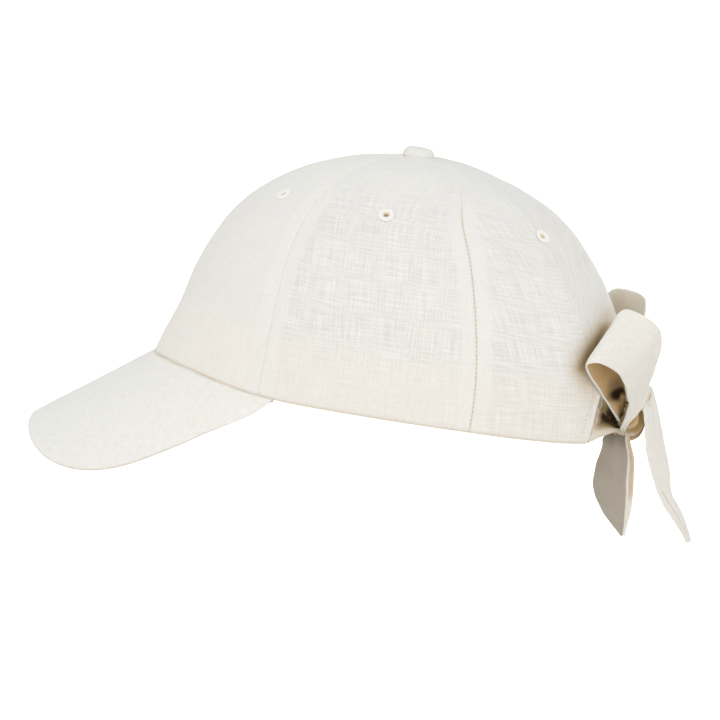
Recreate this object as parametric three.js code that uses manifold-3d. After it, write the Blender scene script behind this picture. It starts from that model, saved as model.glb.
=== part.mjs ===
// A six-panel linen cap with a curved visor, tied at the back in a bow.
// Millimetres, +Z up. The wearer faces -Y and the wearer's left side is +X.
// The origin is the centre of the head opening, where the head carries the cap.
import * as THREE from 'three';
import { mergeVertices } from 'three/addons/utils/BufferGeometryUtils.js';
import Module from 'manifold-3d';

const wasm = await Module();
wasm.setup();

// Cloth, clearances and wear
const PANEL_CLOTH = 1.2;
const BAND_CLOTH = 1.0;
const RIBBON_CLOTH = 1.4;
const SEAM_GAP = 0.3;
const SEAT_GAP = 0.3;
const WORN_TILT = 9.3;

// Crown: distance in mm from the centre of the opening to the outer face,
// by the angle in degrees above the plane of the opening
const CROWN_ROWS = [
  { rise: -15, front: 108.0, side: 80.1, rear: 104.0 },
  { rise: 0, front: 99.8, side: 79.4, rear: 106.4 },
  { rise: 15, front: 95.0, side: 81.9, rear: 107.9 },
  { rise: 30, front: 97.5, side: 87.6, rear: 108.2 },
  { rise: 45, front: 101.3, side: 94.5, rear: 109.0 },
  { rise: 60, front: 102.3, side: 101.0, rear: 108.6 },
  { rise: 75, front: 102.7, side: 105.1, rear: 105.0 },
  { rise: 90, front: 103.9, side: 103.9, rear: 103.9 },
];

// Hem: height in mm of the lower edge, by the angle in degrees away from the front
const HEM_ROWS = [
  { turn: 0, height: 1.9 },
  { turn: 30, height: 2.8 },
  { turn: 60, height: -0.2 },
  { turn: 90, height: 0.2 },
  { turn: 120, height: 0.3 },
  { turn: 150, height: -0.8 },
  { turn: 180, height: -0.9 },
];

// Seams of one side by the angle above the opening: their angle away from the front
const SEAM_ROWS = [
  { rise: 0, front: 59.6, rear: 123.8 },
  { rise: 15, front: 59.3, rear: 123.4 },
  { rise: 30, front: 58.0, rear: 122.0 },
  { rise: 45, front: 55.5, rear: 120.7 },
  { rise: 57, front: 53.8, rear: 120.1 },
  { rise: 68, front: 55.5, rear: 126.4 },
  { rise: 80, front: 60.0, rear: 135.0 },
  { rise: 90, front: 60.0, rear: 138.0 },
];

// Panels of one side, from seam to seam, and the place of each panel's eyelet
const PANELS = [
  { name: 'front', from: 'foremost', to: 'front', eyeletTurn: 35.0, eyeletRise: 53.1, columns: 8 },
  { name: 'side', from: 'front', to: 'rear', eyeletTurn: 87.0, eyeletRise: 55.4, columns: 9 },
  { name: 'rear', from: 'rear', to: 'rearmost', eyeletTurn: 153.4, eyeletRise: 50.1, columns: 11 },
];
const PANEL_ROWS = 12;
const PANEL_PUFF = 0.7;
const PUFF_START = 20;
const CROWN_HOLE_RADIUS = 2.6;

// Soft dents in the worn crown, and one low swell: place, depth in mm and reach in degrees
const DENT_ROWS = [
  { turn: 168, rise: 69, depth: 1.1, turnReach: 30, riseReach: 5 },
  { turn: 172, rise: 41, depth: 1.1, turnReach: 16, riseReach: 5 },
  { turn: -168, rise: 60, depth: 0.9, turnReach: 26, riseReach: 6 },
  { turn: 140, rise: 24, depth: 1.2, turnReach: 7, riseReach: 20 },
  { turn: -138, rise: 22, depth: 1.3, turnReach: 8, riseReach: 18 },
  { turn: 96, rise: 24, depth: 1.0, turnReach: 12, riseReach: 9 },
  { turn: -84, rise: 28, depth: 1.1, turnReach: 12, riseReach: 9 },
  { turn: 24, rise: 70, depth: 0.8, turnReach: 20, riseReach: 6 },
  { turn: 0, rise: 82, depth: 1.2, turnReach: 80, riseReach: 5.5 },
  { turn: 180, rise: 78, depth: -0.6, turnReach: 60, riseReach: 7 },
];

// Half-moon opening behind, below which the cap is tied
const ARCH_CORNER_TURN = 159.5;
const ARCH_HEIGHT = 43;
const ARCH_POWER = 2.2;
const ARCH_COLUMNS = 6;

// Stitched eyelets
const EYELET = {
  hole: 1.1,
  tube: 2.1,
  flange: 3.3,
  shoulder: 2.95,
  crest: 1.9,
  lip: 0.5,
  rise: 0.8,
  crestRise: 0.95,
  cut: 2.4,
  cutLength: 7.6,
  sides: 12,
};

// Covered button on the top
const BUTTON = {
  radius: 7.2,
  height: 4.6,
  foot: 0.45,
  sidePower: 0.7,
  domePower: 0.9,
  domeSteps: 6,
  stem: 2.1,
  stemLength: 3.2,
  sides: 18,
};

// Sweatband inside the rim
const BAND = { height: 27, clearance: 0.6, rise: 0.3, columns: 42, rows: 3, cornerSetback: 1.0 };

// Visor: a patch of a cylinder whose rulings run forward and down
const VISOR = {
  archRadius: 86.5,
  droop: 36.6,
  tip: 61.2,
  cornerTurn: 61.6,
  squareness: 3.4,
  thickness: 2.6,
  endThickness: 1.2,
  endLength: 30,
  rootShare: 0.3,
  edgeRounding: 0.6,
  edgeThinning: 0.3,
  endAngle: 89.95,
  columns: 26,
  rows: 8,
};

// Knot of the bow
const KNOT = { x: 0, y: 108.3, z: -11.3, halfLength: 8.5, halfDepth: 7.2, halfHeight: 8.4 };
const KNOT_FOLDS = { count: 3, depth: 0.5, endPower: 0.8, sides: 18, rings: 12 };

// Ribbon sections: the two long edges of the ribbon, from row to row along it
const LEFT_LOOP_ROWS = [
  { ax: 3, ay: 109.1, az: -13.4, bx: -1, by: 110.5, bz: -12.1 },
  { ax: 6, ay: 105.4, az: -11.7, bx: 3, by: 108.6, bz: -7.3 },
  { ax: 20, ay: 103.0, az: -4.7, bx: 6, by: 107.4, bz: 0.9 },
  { ax: 33, ay: 99.7, az: 3.4, bx: 15.5, by: 106.6, bz: 14.6 },
  { ax: 43, ay: 95.9, az: 11.3, bx: 24, by: 104.0, bz: 28.3 },
  { ax: 49, ay: 93.6, az: 17.5, bx: 28, by: 104.8, bz: 36.0 },
  { ax: 51, ay: 95.0, az: 19.6, bx: 30, by: 109.0, bz: 40.3 },
  { ax: 51, ay: 99.6, az: 19.8, bx: 29.5, by: 117.4, bz: 38.5 },
  { ax: 46, ay: 106.4, az: 15.3, bx: 26.5, by: 123.0, bz: 32.3 },
  { ax: 38, ay: 109.3, az: 8.8, bx: 21, by: 123.4, bz: 23.6 },
  { ax: 30, ay: 110.2, az: 2.7, bx: 16, by: 121.1, bz: 15.7 },
  { ax: 21, ay: 109.5, az: -2.3, bx: 11, by: 118.3, bz: 6.9 },
  { ax: 15, ay: 108.4, az: -6.6, bx: 9, by: 116.6, bz: -0.7 },
  { ax: 11.6, ay: 106.8, az: -10.5, bx: 9.9, by: 112.8, bz: -7.2 },
  { ax: 9.8, ay: 105.6, az: -13.1, bx: 9.9, by: 108.8, bz: -11.8 },
  { ax: 5.5, ay: 106.2, az: -15.2, bx: 5.5, by: 107.9, bz: -14.8 },
];
const RIGHT_LOOP_ROWS = [
  { ax: -3, ay: 109.0, az: -13.0, bx: 1, by: 110.8, bz: -11.5 },
  { ax: -8, ay: 106.4, az: -11.0, bx: -1.5, by: 109.2, bz: -8.0 },
  { ax: -20, ay: 104.4, az: -4.6, bx: -6, by: 107.4, bz: 1.0 },
  { ax: -33, ay: 101.2, az: 4.0, bx: -16, by: 106.8, bz: 16.0 },
  { ax: -45, ay: 95.8, az: 12.1, bx: -26, by: 101.6, bz: 30.2 },
  { ax: -52, ay: 92.2, az: 18.4, bx: -32, by: 96.6, bz: 37.5 },
  { ax: -54, ay: 93.8, az: 20.9, bx: -31.5, by: 99.9, bz: 42.8 },
  { ax: -53, ay: 98.3, az: 21.1, bx: -29.5, by: 107.1, bz: 42.7 },
  { ax: -49, ay: 103.8, az: 17.0, bx: -27, by: 113.2, bz: 39.0 },
  { ax: -41, ay: 106.4, az: 10.0, bx: -23, by: 113.4, bz: 31.0 },
  { ax: -32, ay: 108.0, az: 4.0, bx: -17.5, by: 113.8, bz: 20.5 },
  { ax: -22, ay: 108.8, az: -1.4, bx: -12, by: 112.8, bz: 9.0 },
  { ax: -12.5, ay: 108.8, az: -6.0, bx: -6, by: 111.8, bz: -1.5 },
  { ax: -4, ay: 108.8, az: -9.6, bx: 1, by: 110.4, bz: -9.0 },
];
const TIE_ROWS = [
  { ax: 27.5, ay: 97.4, az: -15.1, bx: 29.0, by: 98.7, bz: -3.2 },
  { ax: 15.0, ay: 101.2, az: -14.7, bx: 18.5, by: 101.0, bz: -7.5 },
  { ax: 7.5, ay: 104.6, az: -14.8, bx: 8.5, by: 103.8, bz: -11.6 },
  { ax: 2.0, ay: 108.4, az: -14.2, bx: 1.5, by: 107.8, bz: -12.0 },
];
const INNER_TAIL_ROWS = [
  { ax: -1, ay: 108.0, az: -14.8, bx: 3, by: 109.9, bz: -13.3 },
  { ax: -3, ay: 97.3, az: -22.2, bx: 11, by: 109.8, bz: -20.0 },
  { ax: -5, ay: 95.5, az: -27.8, bx: 18, by: 111.6, bz: -25.1 },
  { ax: -6, ay: 93.5, az: -36.8, bx: 20, by: 111.6, bz: -32.2 },
  { ax: -6, ay: 93.8, az: -42.0, bx: 20, by: 111.2, bz: -39.0 },
  { ax: -3, ay: 96.5, az: -49.4, bx: 17, by: 110.2, bz: -47.3 },
  { ax: 2, ay: 101.1, az: -54.9, bx: 13, by: 109.1, bz: -53.6 },
  { ax: 8, ay: 106.3, az: -59.3, bx: 11, by: 108.0, bz: -58.7 },
];
const OUTER_TAIL_ROWS = [
  { ax: 3, ay: 110.3, az: -12.0, bx: -2, by: 112.6, bz: -7.4 },
  { ax: 5, ay: 112.8, az: -6.5, bx: -4, by: 117.3, bz: 3.7 },
  { ax: 7, ay: 115.2, az: -6.2, bx: -9, by: 120.0, bz: -4.1 },
  { ax: 9, ay: 116.3, az: -16.7, bx: -14, by: 122.7, bz: -19.4 },
  { ax: 11, ay: 117.6, az: -25.1, bx: -17, by: 124.6, bz: -29.0 },
  { ax: 10, ay: 119.7, az: -33.9, bx: -19, by: 125.8, bz: -36.8 },
  { ax: 8, ay: 122.4, az: -41.7, bx: -21, by: 126.5, bz: -45.5 },
  { ax: 4, ay: 125.6, az: -49.0, bx: -21, by: 129.2, bz: -51.2 },
  { ax: -4, ay: 130.0, az: -57.1, bx: -20, by: 132.1, bz: -56.7 },
  { ax: -13, ay: 134.0, az: -65.9, bx: -17, by: 135.2, bz: -65.9 },
];
const TAIL_CUP = 0.8;
const RIBBON_ACROSS = 6;
const RIBBON_STEPS = 2;
const RIBBON_EDGE = 0.55;
const CUP_START = 0.2;
const TIE_ROOT = { past: 2, lean: 1.4, share: 0.36 };

// Colours of the linen, brightest on the ribbon's outer face
const LINEN = new THREE.MeshStandardMaterial({ color: 0xeee9de, roughness: 0.92, metalness: 0 });
const VISOR_LINEN = new THREE.MeshStandardMaterial({ color: 0xebe6d8, roughness: 0.9, metalness: 0 });
const RIBBON_LINEN = new THREE.MeshStandardMaterial({ color: 0xe9e2d3, roughness: 0.92, metalness: 0 });
const THREAD = new THREE.MeshStandardMaterial({ color: 0xf1ead8, roughness: 0.7, metalness: 0 });
const BAND_TAPE = new THREE.MeshStandardMaterial({ color: 0xe8dccb, roughness: 0.95, metalness: 0 });

// Step for slopes taken by differences, as a share of a row or column
const SMALL_STEP = 0.02;

const { lerp, clamp, degToRad: radians, radToDeg: degrees } = THREE.MathUtils;

// Reads a table between its rows: a cubic through the values, level at both ends
function tableAt(rows, key, column, at) {
  const last = rows.length - 1;
  const place = clamp(at, rows[0][key], rows[last][key]);
  let i = 0;
  while (i < last - 1 && place > rows[i + 1][key]) i += 1;
  const slope = (k) => {
    if (k === 0 || k === last) return 0;
    return (rows[k + 1][column] - rows[k - 1][column]) / (rows[k + 1][key] - rows[k - 1][key]);
  };
  const span = rows[i + 1][key] - rows[i][key];
  const t = (place - rows[i][key]) / span;
  const rest = 1 - t;
  const startValue = (1 + 2 * t) * rest * rest * rows[i][column];
  const endValue = (3 - 2 * t) * t * t * rows[i + 1][column];
  const startSlope = t * rest * rest * span * slope(i);
  const endSlope = -t * t * rest * span * slope(i + 1);
  return startValue + endValue + startSlope + endSlope;
}

// Angle away from the front of a seam, which leans with the angle above the opening
function seamTurn(seam, rise) {
  if (seam === 'foremost') return 0;
  if (seam === 'rearmost') return 180;
  return tableAt(SEAM_ROWS, 'rise', seam, rise);
}

// Share of the way from one seam to the next
function panelShare(turn, rise) {
  const away = Math.abs(turn);
  const last = PANELS[PANELS.length - 1];
  const panel = PANELS.find((row) => away <= seamTurn(row.to, rise)) ?? last;
  const start = seamTurn(panel.from, rise);
  return clamp((away - start) / (seamTurn(panel.to, rise) - start), 0, 1);
}

// Outward swell of the cloth between the seams, which the rim and the button hold back
function puff(turn, rise) {
  const fromSeam = 1 - (2 * panelShare(turn, rise) - 1) ** 4;
  const fromRim = clamp(rise / PUFF_START, 0, 1);
  return PANEL_PUFF * fromSeam * fromRim * Math.sqrt(Math.cos(radians(rise)));
}

function dent(turn, rise) {
  let depth = 0;
  for (const row of DENT_ROWS) {
    const across = (((turn - row.turn + 540) % 360) - 180) / row.turnReach;
    const up = (rise - row.rise) / row.riseReach;
    depth += row.depth * Math.exp(-across * across - up * up);
  }
  return depth;
}

// Distance from the centre of the opening to the crown's outer face
function crownRadius(turn, rise) {
  const ahead = Math.cos(radians(turn));
  const aside = Math.sin(radians(turn));
  const lengthwise = tableAt(CROWN_ROWS, 'rise', ahead > 0 ? 'front' : 'rear', rise);
  const across = tableAt(CROWN_ROWS, 'rise', 'side', rise);
  return 1 / Math.hypot(ahead / lengthwise, aside / across) + puff(turn, rise) - dent(turn, rise);
}

function crownPoint(turn, rise, inset = 0) {
  const radius = crownRadius(turn, rise) - inset;
  const level = radius * Math.cos(radians(rise));
  return new THREE.Vector3(
    level * Math.sin(radians(turn)),
    -level * Math.cos(radians(turn)),
    radius * Math.sin(radians(rise)),
  );
}

function crownNormal(turn, rise) {
  const step = 0.5;
  const along = crownPoint(turn + step, rise).sub(crownPoint(turn - step, rise));
  const up = crownPoint(turn, rise + step).sub(crownPoint(turn, rise - step));
  return along.cross(up).normalize();
}

// Angle above the opening at which the crown's face reaches a height over the hem
function riseAt(turn, aboveHem) {
  const height = tableAt(HEM_ROWS, 'turn', 'height', Math.abs(turn)) + aboveHem;
  let rise = 0;
  for (let pass = 0; pass < 12; pass += 1) {
    rise = degrees(Math.asin(height / crownRadius(turn, rise)));
  }
  return rise;
}

// Angle at which the crown ends around the hole under the button
function topRise(turn) {
  return degrees(Math.acos(CROWN_HOLE_RADIUS / crownRadius(turn, 90)));
}

// Height of the half-moon's edge above the hem, for an azimuth
function archHeight(turn) {
  const share = (180 - Math.abs(turn)) / (180 - ARCH_CORNER_TURN);
  if (share >= 1) return 0;
  return ARCH_HEIGHT * (1 - share ** ARCH_POWER) ** (1 / ARCH_POWER);
}

// Makes a geometry from points and triangles, turned so that its faces point out
function facingOut(positions, index) {
  const corner = (k) => new THREE.Vector3().fromArray(positions, index[k] * 3);
  let volume = 0;
  for (let k = 0; k < index.length; k += 3) {
    volume += corner(k).dot(corner(k + 1).cross(corner(k + 2)));
  }
  if (volume < 0) index.reverse();
  const geometry = new THREE.BufferGeometry();
  geometry.setAttribute('position', new THREE.Float32BufferAttribute(positions, 3));
  geometry.setIndex(index);
  return geometry;
}

// A closed body between two grids of points, joined along their four edges
function slab(upper, lower) {
  const rows = upper.length;
  const columns = upper[0].length;
  const positions = [upper, lower].flat(2).flatMap((point) => point.toArray());
  const index = [];
  const at = (side, row, column) => (side * rows + row) * columns + column;
  const quad = (a, b, c, d) => index.push(a, b, c, a, c, d);
  for (let r = 0; r < rows - 1; r += 1) {
    for (let c = 0; c < columns - 1; c += 1) {
      quad(at(0, r, c), at(0, r, c + 1), at(0, r + 1, c + 1), at(0, r + 1, c));
      quad(at(1, r, c), at(1, r + 1, c), at(1, r + 1, c + 1), at(1, r, c + 1));
    }
  }
  const end = rows - 1;
  for (let c = 0; c < columns - 1; c += 1) {
    quad(at(0, 0, c), at(1, 0, c), at(1, 0, c + 1), at(0, 0, c + 1));
    quad(at(0, end, c), at(0, end, c + 1), at(1, end, c + 1), at(1, end, c));
  }
  const edge = columns - 1;
  for (let r = 0; r < rows - 1; r += 1) {
    quad(at(0, r, 0), at(0, r + 1, 0), at(1, r + 1, 0), at(1, r, 0));
    quad(at(0, r, edge), at(1, r, edge), at(1, r + 1, edge), at(0, r + 1, edge));
  }
  return facingOut(positions, index);
}

function asSolid(geometry) {
  const bare = geometry.clone();
  bare.deleteAttribute('normal');
  bare.deleteAttribute('uv');
  const merged = mergeVertices(bare, 1e-5);
  return new wasm.Manifold(new wasm.Mesh({
    numProp: 3,
    vertProperties: new Float32Array(merged.attributes.position.array),
    triVerts: new Uint32Array(merged.index.array),
  }));
}

function asGeometry(solid) {
  const mesh = solid.getMesh();
  const geometry = new THREE.BufferGeometry();
  geometry.setAttribute('position', new THREE.Float32BufferAttribute(mesh.vertProperties, 3));
  geometry.setIndex(new THREE.Uint32BufferAttribute(mesh.triVerts, 1));
  return geometry;
}

const cut = (geometry, tool) => asGeometry(asSolid(geometry).subtract(asSolid(tool)));

// Crown panel from one seam to the next, with half a seam gap at each end
function panelGeometry(panel, side) {
  const isRear = panel.name === 'rear';
  const archStart = panel.columns - ARCH_COLUMNS;
  const hemTurn = (i) => {
    const start = seamTurn(panel.from, 0);
    if (!isRear) return lerp(start, seamTurn(panel.to, 0), i / panel.columns);
    if (i <= archStart) return lerp(start, ARCH_CORNER_TURN, i / archStart);
    const swing = (Math.PI / 2) * ((i - archStart) / ARCH_COLUMNS);
    return 180 - (180 - ARCH_CORNER_TURN) * Math.cos(swing);
  };
  const grid = (inset) => {
    const rows = [];
    for (let j = 0; j <= PANEL_ROWS; j += 1) {
      const row = [];
      for (let i = 0; i <= panel.columns; i += 1) {
        const hem = hemTurn(i);
        const low = riseAt(hem, isRear ? archHeight(hem) : 0);
        const lowStart = seamTurn(panel.from, low);
        const lowShare = (hem - lowStart) / (seamTurn(panel.to, low) - lowStart);
        const rise = lerp(low, topRise(hem), j / PANEL_ROWS);
        const across = lerp(lowShare, i / panel.columns, j / PANEL_ROWS);
        const start = seamTurn(panel.from, rise);
        const end = seamTurn(panel.to, rise);
        const level = crownRadius(hem, rise) * Math.cos(radians(rise));
        const gap = degrees(Math.asin(SEAM_GAP / 2 / level));
        const turn = clamp(lerp(start, end, across), start + gap, end - gap);
        row.push(crownPoint(side * turn, rise, inset));
      }
      rows.push(row);
    }
    return rows;
  };
  return slab(grid(0), grid(PANEL_CLOTH));
}

// Frame on the crown's face with its Z axis straight out of the cloth
function onCrown(turn, rise) {
  const out = crownNormal(turn, rise);
  const turnTo = new THREE.Quaternion().setFromUnitVectors(new THREE.Vector3(0, 0, 1), out);
  return new THREE.Matrix4().compose(crownPoint(turn, rise), turnTo, new THREE.Vector3(1, 1, 1));
}

// Turns a profile about Z; its points are pairs of radius and height
function turned(profile, sides) {
  const points = profile.map(([radius, height]) => new THREE.Vector2(radius, height));
  return new THREE.LatheGeometry(points, sides).rotateX(Math.PI / 2);
}

function eyeletHole() {
  const hole = new THREE.CylinderGeometry(EYELET.cut, EYELET.cut, EYELET.cutLength, EYELET.sides);
  return hole.rotateX(Math.PI / 2);
}

// Ring of thread: a rim over the cloth and a tube through the hole
function eyeletGeometry() {
  return turned([
    [EYELET.hole, -PANEL_CLOTH],
    [EYELET.tube, -PANEL_CLOTH],
    [EYELET.tube, SEAT_GAP],
    [EYELET.flange, SEAT_GAP],
    [EYELET.shoulder, EYELET.rise],
    [EYELET.crest, EYELET.crestRise],
    [EYELET.hole, EYELET.lip],
    [EYELET.hole, -PANEL_CLOTH],
  ], EYELET.sides);
}

// Cloth-covered button with the rivet that holds it through the crown
function buttonGeometry() {
  const { stem, stemLength, foot, domeSteps } = BUTTON;
  const profile = [[0, -stemLength], [stem, -stemLength], [stem, foot]];
  for (let k = 0; k <= domeSteps; k += 1) {
    const swing = (Math.PI / 2) * (k / domeSteps);
    const radius = k === domeSteps ? 0 : BUTTON.radius * Math.cos(swing) ** BUTTON.sidePower;
    profile.push([radius, lerp(foot, BUTTON.height, Math.sin(swing) ** BUTTON.domePower)]);
  }
  return turned(profile, BUTTON.sides);
}

// Band that runs round inside the rim, open between the corners of the half-moon
function sweatbandGeometry() {
  const end = ARCH_CORNER_TURN - BAND.cornerSetback;
  const grid = (inset) => {
    const rows = [];
    for (let j = 0; j <= BAND.rows; j += 1) {
      const row = [];
      for (let i = 0; i <= BAND.columns; i += 1) {
        const turn = lerp(-end, end, i / BAND.columns);
        const rise = riseAt(turn, lerp(BAND.rise, BAND.height, j / BAND.rows));
        row.push(crownPoint(turn, rise, inset));
      }
      rows.push(row);
    }
    return rows;
  };
  const outer = PANEL_CLOTH + BAND.clearance;
  return slab(grid(outer), grid(outer + BAND_CLOTH));
}

// Point of the visor's sheet: across along its arch and forward along its rulings
function visorSheet(across, forward) {
  const origin = crownPoint(0, riseAt(0, 0));
  const bend = across / VISOR.archRadius;
  const sag = VISOR.archRadius * (1 - Math.cos(bend));
  const droop = radians(VISOR.droop);
  return new THREE.Vector3(
    VISOR.archRadius * Math.sin(bend),
    origin.y - forward * Math.cos(droop) + sag * Math.sin(droop),
    origin.z - forward * Math.sin(droop) - sag * Math.cos(droop),
  );
}

// Sheet coordinates of the point of the hem at an azimuth
function hemOnVisor(turn) {
  const hem = crownPoint(turn, riseAt(turn, 0));
  const origin = crownPoint(0, riseAt(0, 0));
  const droop = radians(VISOR.droop);
  const across = VISOR.archRadius * Math.asin(clamp(hem.x / VISOR.archRadius, -1, 1));
  const forward = (origin.y - hem.y) * Math.cos(droop) + (origin.z - hem.z) * Math.sin(droop);
  return { hem, across, forward };
}

// Point of the visor's upper face: column along its edge, share from the hem to the edge
function visorTop(column, share) {
  const corner = hemOnVisor(VISOR.cornerTurn);
  const power = 2 / VISOR.squareness;
  const swing = radians(VISOR.endAngle * ((2 * column) / VISOR.columns - 1));
  const acrossShare = Math.sign(swing) * Math.abs(Math.sin(swing)) ** power;
  const outerAcross = acrossShare * corner.across;
  const outerForward = lerp(corner.forward, VISOR.tip, Math.cos(swing) ** power);
  const turn = (VISOR.cornerTurn * Math.asin(acrossShare)) / (Math.PI / 2);
  const root = hemOnVisor(turn);
  const across = lerp(root.across, outerAcross, share);
  const forward = lerp(root.forward, outerForward, share);
  const lift = root.hem.clone().sub(visorSheet(root.across, root.forward)).multiplyScalar(1 - share);
  const point = visorSheet(across, forward).add(lift);
  point.z -= SEAT_GAP;
  const fromEnd = clamp((outerForward - corner.forward) / VISOR.endLength, 0, 1);
  return { point, turn, thickness: lerp(VISOR.endThickness, VISOR.thickness, fromEnd) };
}

// Way from the visor's upper face to its lower one: down at the hem, square to the sheet further out
function visorUnder(column, share) {
  const inside = clamp(column, SMALL_STEP, VISOR.columns - SMALL_STEP);
  const near = Math.max(share - SMALL_STEP, 0);
  const far = Math.min(share + SMALL_STEP, 1);
  const along = visorTop(inside, far).point.sub(visorTop(inside, near).point);
  const right = visorTop(inside - SMALL_STEP, share).point;
  const left = visorTop(inside + SMALL_STEP, share).point;
  const normal = along.cross(left.sub(right)).normalize();
  if (normal.z > 0) normal.negate();
  const bend = THREE.MathUtils.smoothstep(share, 0, VISOR.rootShare);
  return new THREE.Vector3(0, 0, -1).lerp(normal, bend).normalize();
}

// The grids run one row inward under the panels' hem and one row over the rounded edge
function visorGeometry() {
  const upper = [];
  const lower = [];
  for (let j = -1; j <= VISOR.rows + 1; j += 1) {
    const share = clamp(j / VISOR.rows, 0, 1);
    const pastEdge = j > VISOR.rows;
    const upperRow = [];
    const lowerRow = [];
    for (let i = 0; i <= VISOR.columns; i += 1) {
      const { point, turn, thickness } = visorTop(i, share);
      const under = visorUnder(i, share);
      if (j < 0) {
        const rise = riseAt(turn, 0);
        point.add(crownPoint(turn, rise, PANEL_CLOTH)).sub(crownPoint(turn, rise));
      }
      if (pastEdge) {
        const out = visorTop(i, 1).point.sub(visorTop(i, 1 - SMALL_STEP).point).normalize();
        point.addScaledVector(out, VISOR.edgeRounding);
      }
      const thinned = pastEdge ? VISOR.edgeThinning * thickness : 0;
      upperRow.push(point.clone().addScaledVector(under, thinned));
      lowerRow.push(point.clone().addScaledVector(under, thickness - thinned));
    }
    upper.push(upperRow);
    lower.push(lowerRow);
  }
  return slab(upper, lower);
}

// Ribbon between two long edges that a table gives, smoothed along its length
function ribbonGeometry(rows, cup = 0) {
  const edge = (x, y, z) => {
    const points = rows.map((row) => new THREE.Vector3(row[x], row[y], row[z]));
    return new THREE.CatmullRomCurve3(points, false, 'catmullrom', 0.5);
  };
  const edgeA = edge('ax', 'ay', 'az');
  const edgeB = edge('bx', 'by', 'bz');
  const steps = (rows.length - 1) * RIBBON_STEPS;
  const middle = (along, across) => edgeA.getPoint(along).lerp(edgeB.getPoint(along), across);
  const normalAt = (along, across) => {
    const from = Math.max(along - SMALL_STEP / 2, 0);
    const to = Math.min(along + SMALL_STEP / 2, 1);
    const forward = middle(to, across).sub(middle(from, across));
    const aside = edgeB.getPoint(along).sub(edgeA.getPoint(along));
    return forward.cross(aside).normalize();
  };
  const upper = [];
  const lower = [];
  for (let j = 0; j <= steps; j += 1) {
    const along = j / steps;
    const fromEnd = Math.min(along, 1 - along) / CUP_START;
    const upperRow = [];
    const lowerRow = [];
    for (let i = 0; i <= RIBBON_ACROSS; i += 1) {
      const across = i / RIBBON_ACROSS;
      const centred = 2 * across - 1;
      const swell = cup * (1 - centred * centred) * clamp(fromEnd, 0, 1);
      const normal = normalAt(along, across);
      const half = (RIBBON_CLOTH / 2) * (Math.abs(centred) === 1 ? RIBBON_EDGE : 1);
      const point = middle(along, across).addScaledVector(normal, swell);
      upperRow.push(point.clone().addScaledVector(normal, half));
      lowerRow.push(point.clone().addScaledVector(normal, -half));
    }
    upper.push(upperRow);
    lower.push(lowerRow);
  }
  return slab(upper, lower);
}

// Knot: a short barrel across the cap, its wound cloth shown as shallow folds
function knotGeometry(extra = 0) {
  const profile = [];
  for (let k = 0; k <= KNOT_FOLDS.rings; k += 1) {
    const share = (2 * k) / KNOT_FOLDS.rings - 1;
    const swing = (Math.PI / 2) * share;
    const fold = KNOT_FOLDS.depth * Math.cos(Math.PI * KNOT_FOLDS.count * share) * Math.cos(swing);
    const radius = (KNOT.halfHeight + extra) * Math.cos(swing) ** KNOT_FOLDS.endPower + fold;
    const length = (KNOT.halfLength + extra) * Math.sin(swing);
    profile.push([Math.abs(share) === 1 ? 0 : radius, length]);
  }
  const squeeze = (KNOT.halfDepth + extra) / (KNOT.halfHeight + extra);
  return turned(profile, KNOT_FOLDS.sides)
    .rotateY(Math.PI / 2)
    .scale(1, squeeze, 1)
    .translate(KNOT.x, KNOT.y, KNOT.z);
}

// The same rows on the other side of the cap
const mirroredRows = (rows) => rows.map((row) => ({ ...row, ax: -row.ax, bx: -row.bx }));

// First section of a tie: the edge of the half-moon just past the end of the panel
function tieRoot() {
  const gapTurn = TIE_ROOT.past * degrees(SEAT_GAP / crownRadius(ARCH_CORNER_TURN, 0));
  const sideways = new THREE.Vector3(1, 0, 0);
  const worn = (turn, aboveHem) => {
    const middle = crownPoint(turn + gapTurn, riseAt(turn, aboveHem), PANEL_CLOTH / 2);
    return middle.applyAxisAngle(sideways, -radians(WORN_TILT));
  };
  const low = worn(ARCH_CORNER_TURN, 0);
  const high = worn(ARCH_CORNER_TURN + TIE_ROOT.lean, TIE_ROOT.share * ARCH_HEIGHT);
  return { ax: low.x, ay: low.y, az: low.z, bx: high.x, by: high.y, bz: high.z };
}

function addMesh(parent, name, geometry, material) {
  const mesh = new THREE.Mesh(geometry, material);
  mesh.name = name;
  parent.add(mesh);
  return mesh;
}

const SIDES = [{ name: 'left', sign: 1 }, { name: 'right', sign: -1 }];

function addCrown(parent) {
  for (const { name: sideName, sign } of SIDES) {
    for (const panel of PANELS) {
      const place = onCrown(sign * panel.eyeletTurn, panel.eyeletRise);
      const pierced = cut(panelGeometry(panel, sign), eyeletHole().applyMatrix4(place));
      addMesh(parent, `crown_panel_${panel.name}_${sideName}`, pierced, LINEN);
      const eyelet = addMesh(parent, `eyelet_${panel.name}_${sideName}`, eyeletGeometry(), THREAD);
      eyelet.applyMatrix4(place);
    }
  }
  const button = addMesh(parent, 'crown_button', buttonGeometry(), LINEN);
  button.position.z = crownRadius(0, 90);
}

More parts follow.
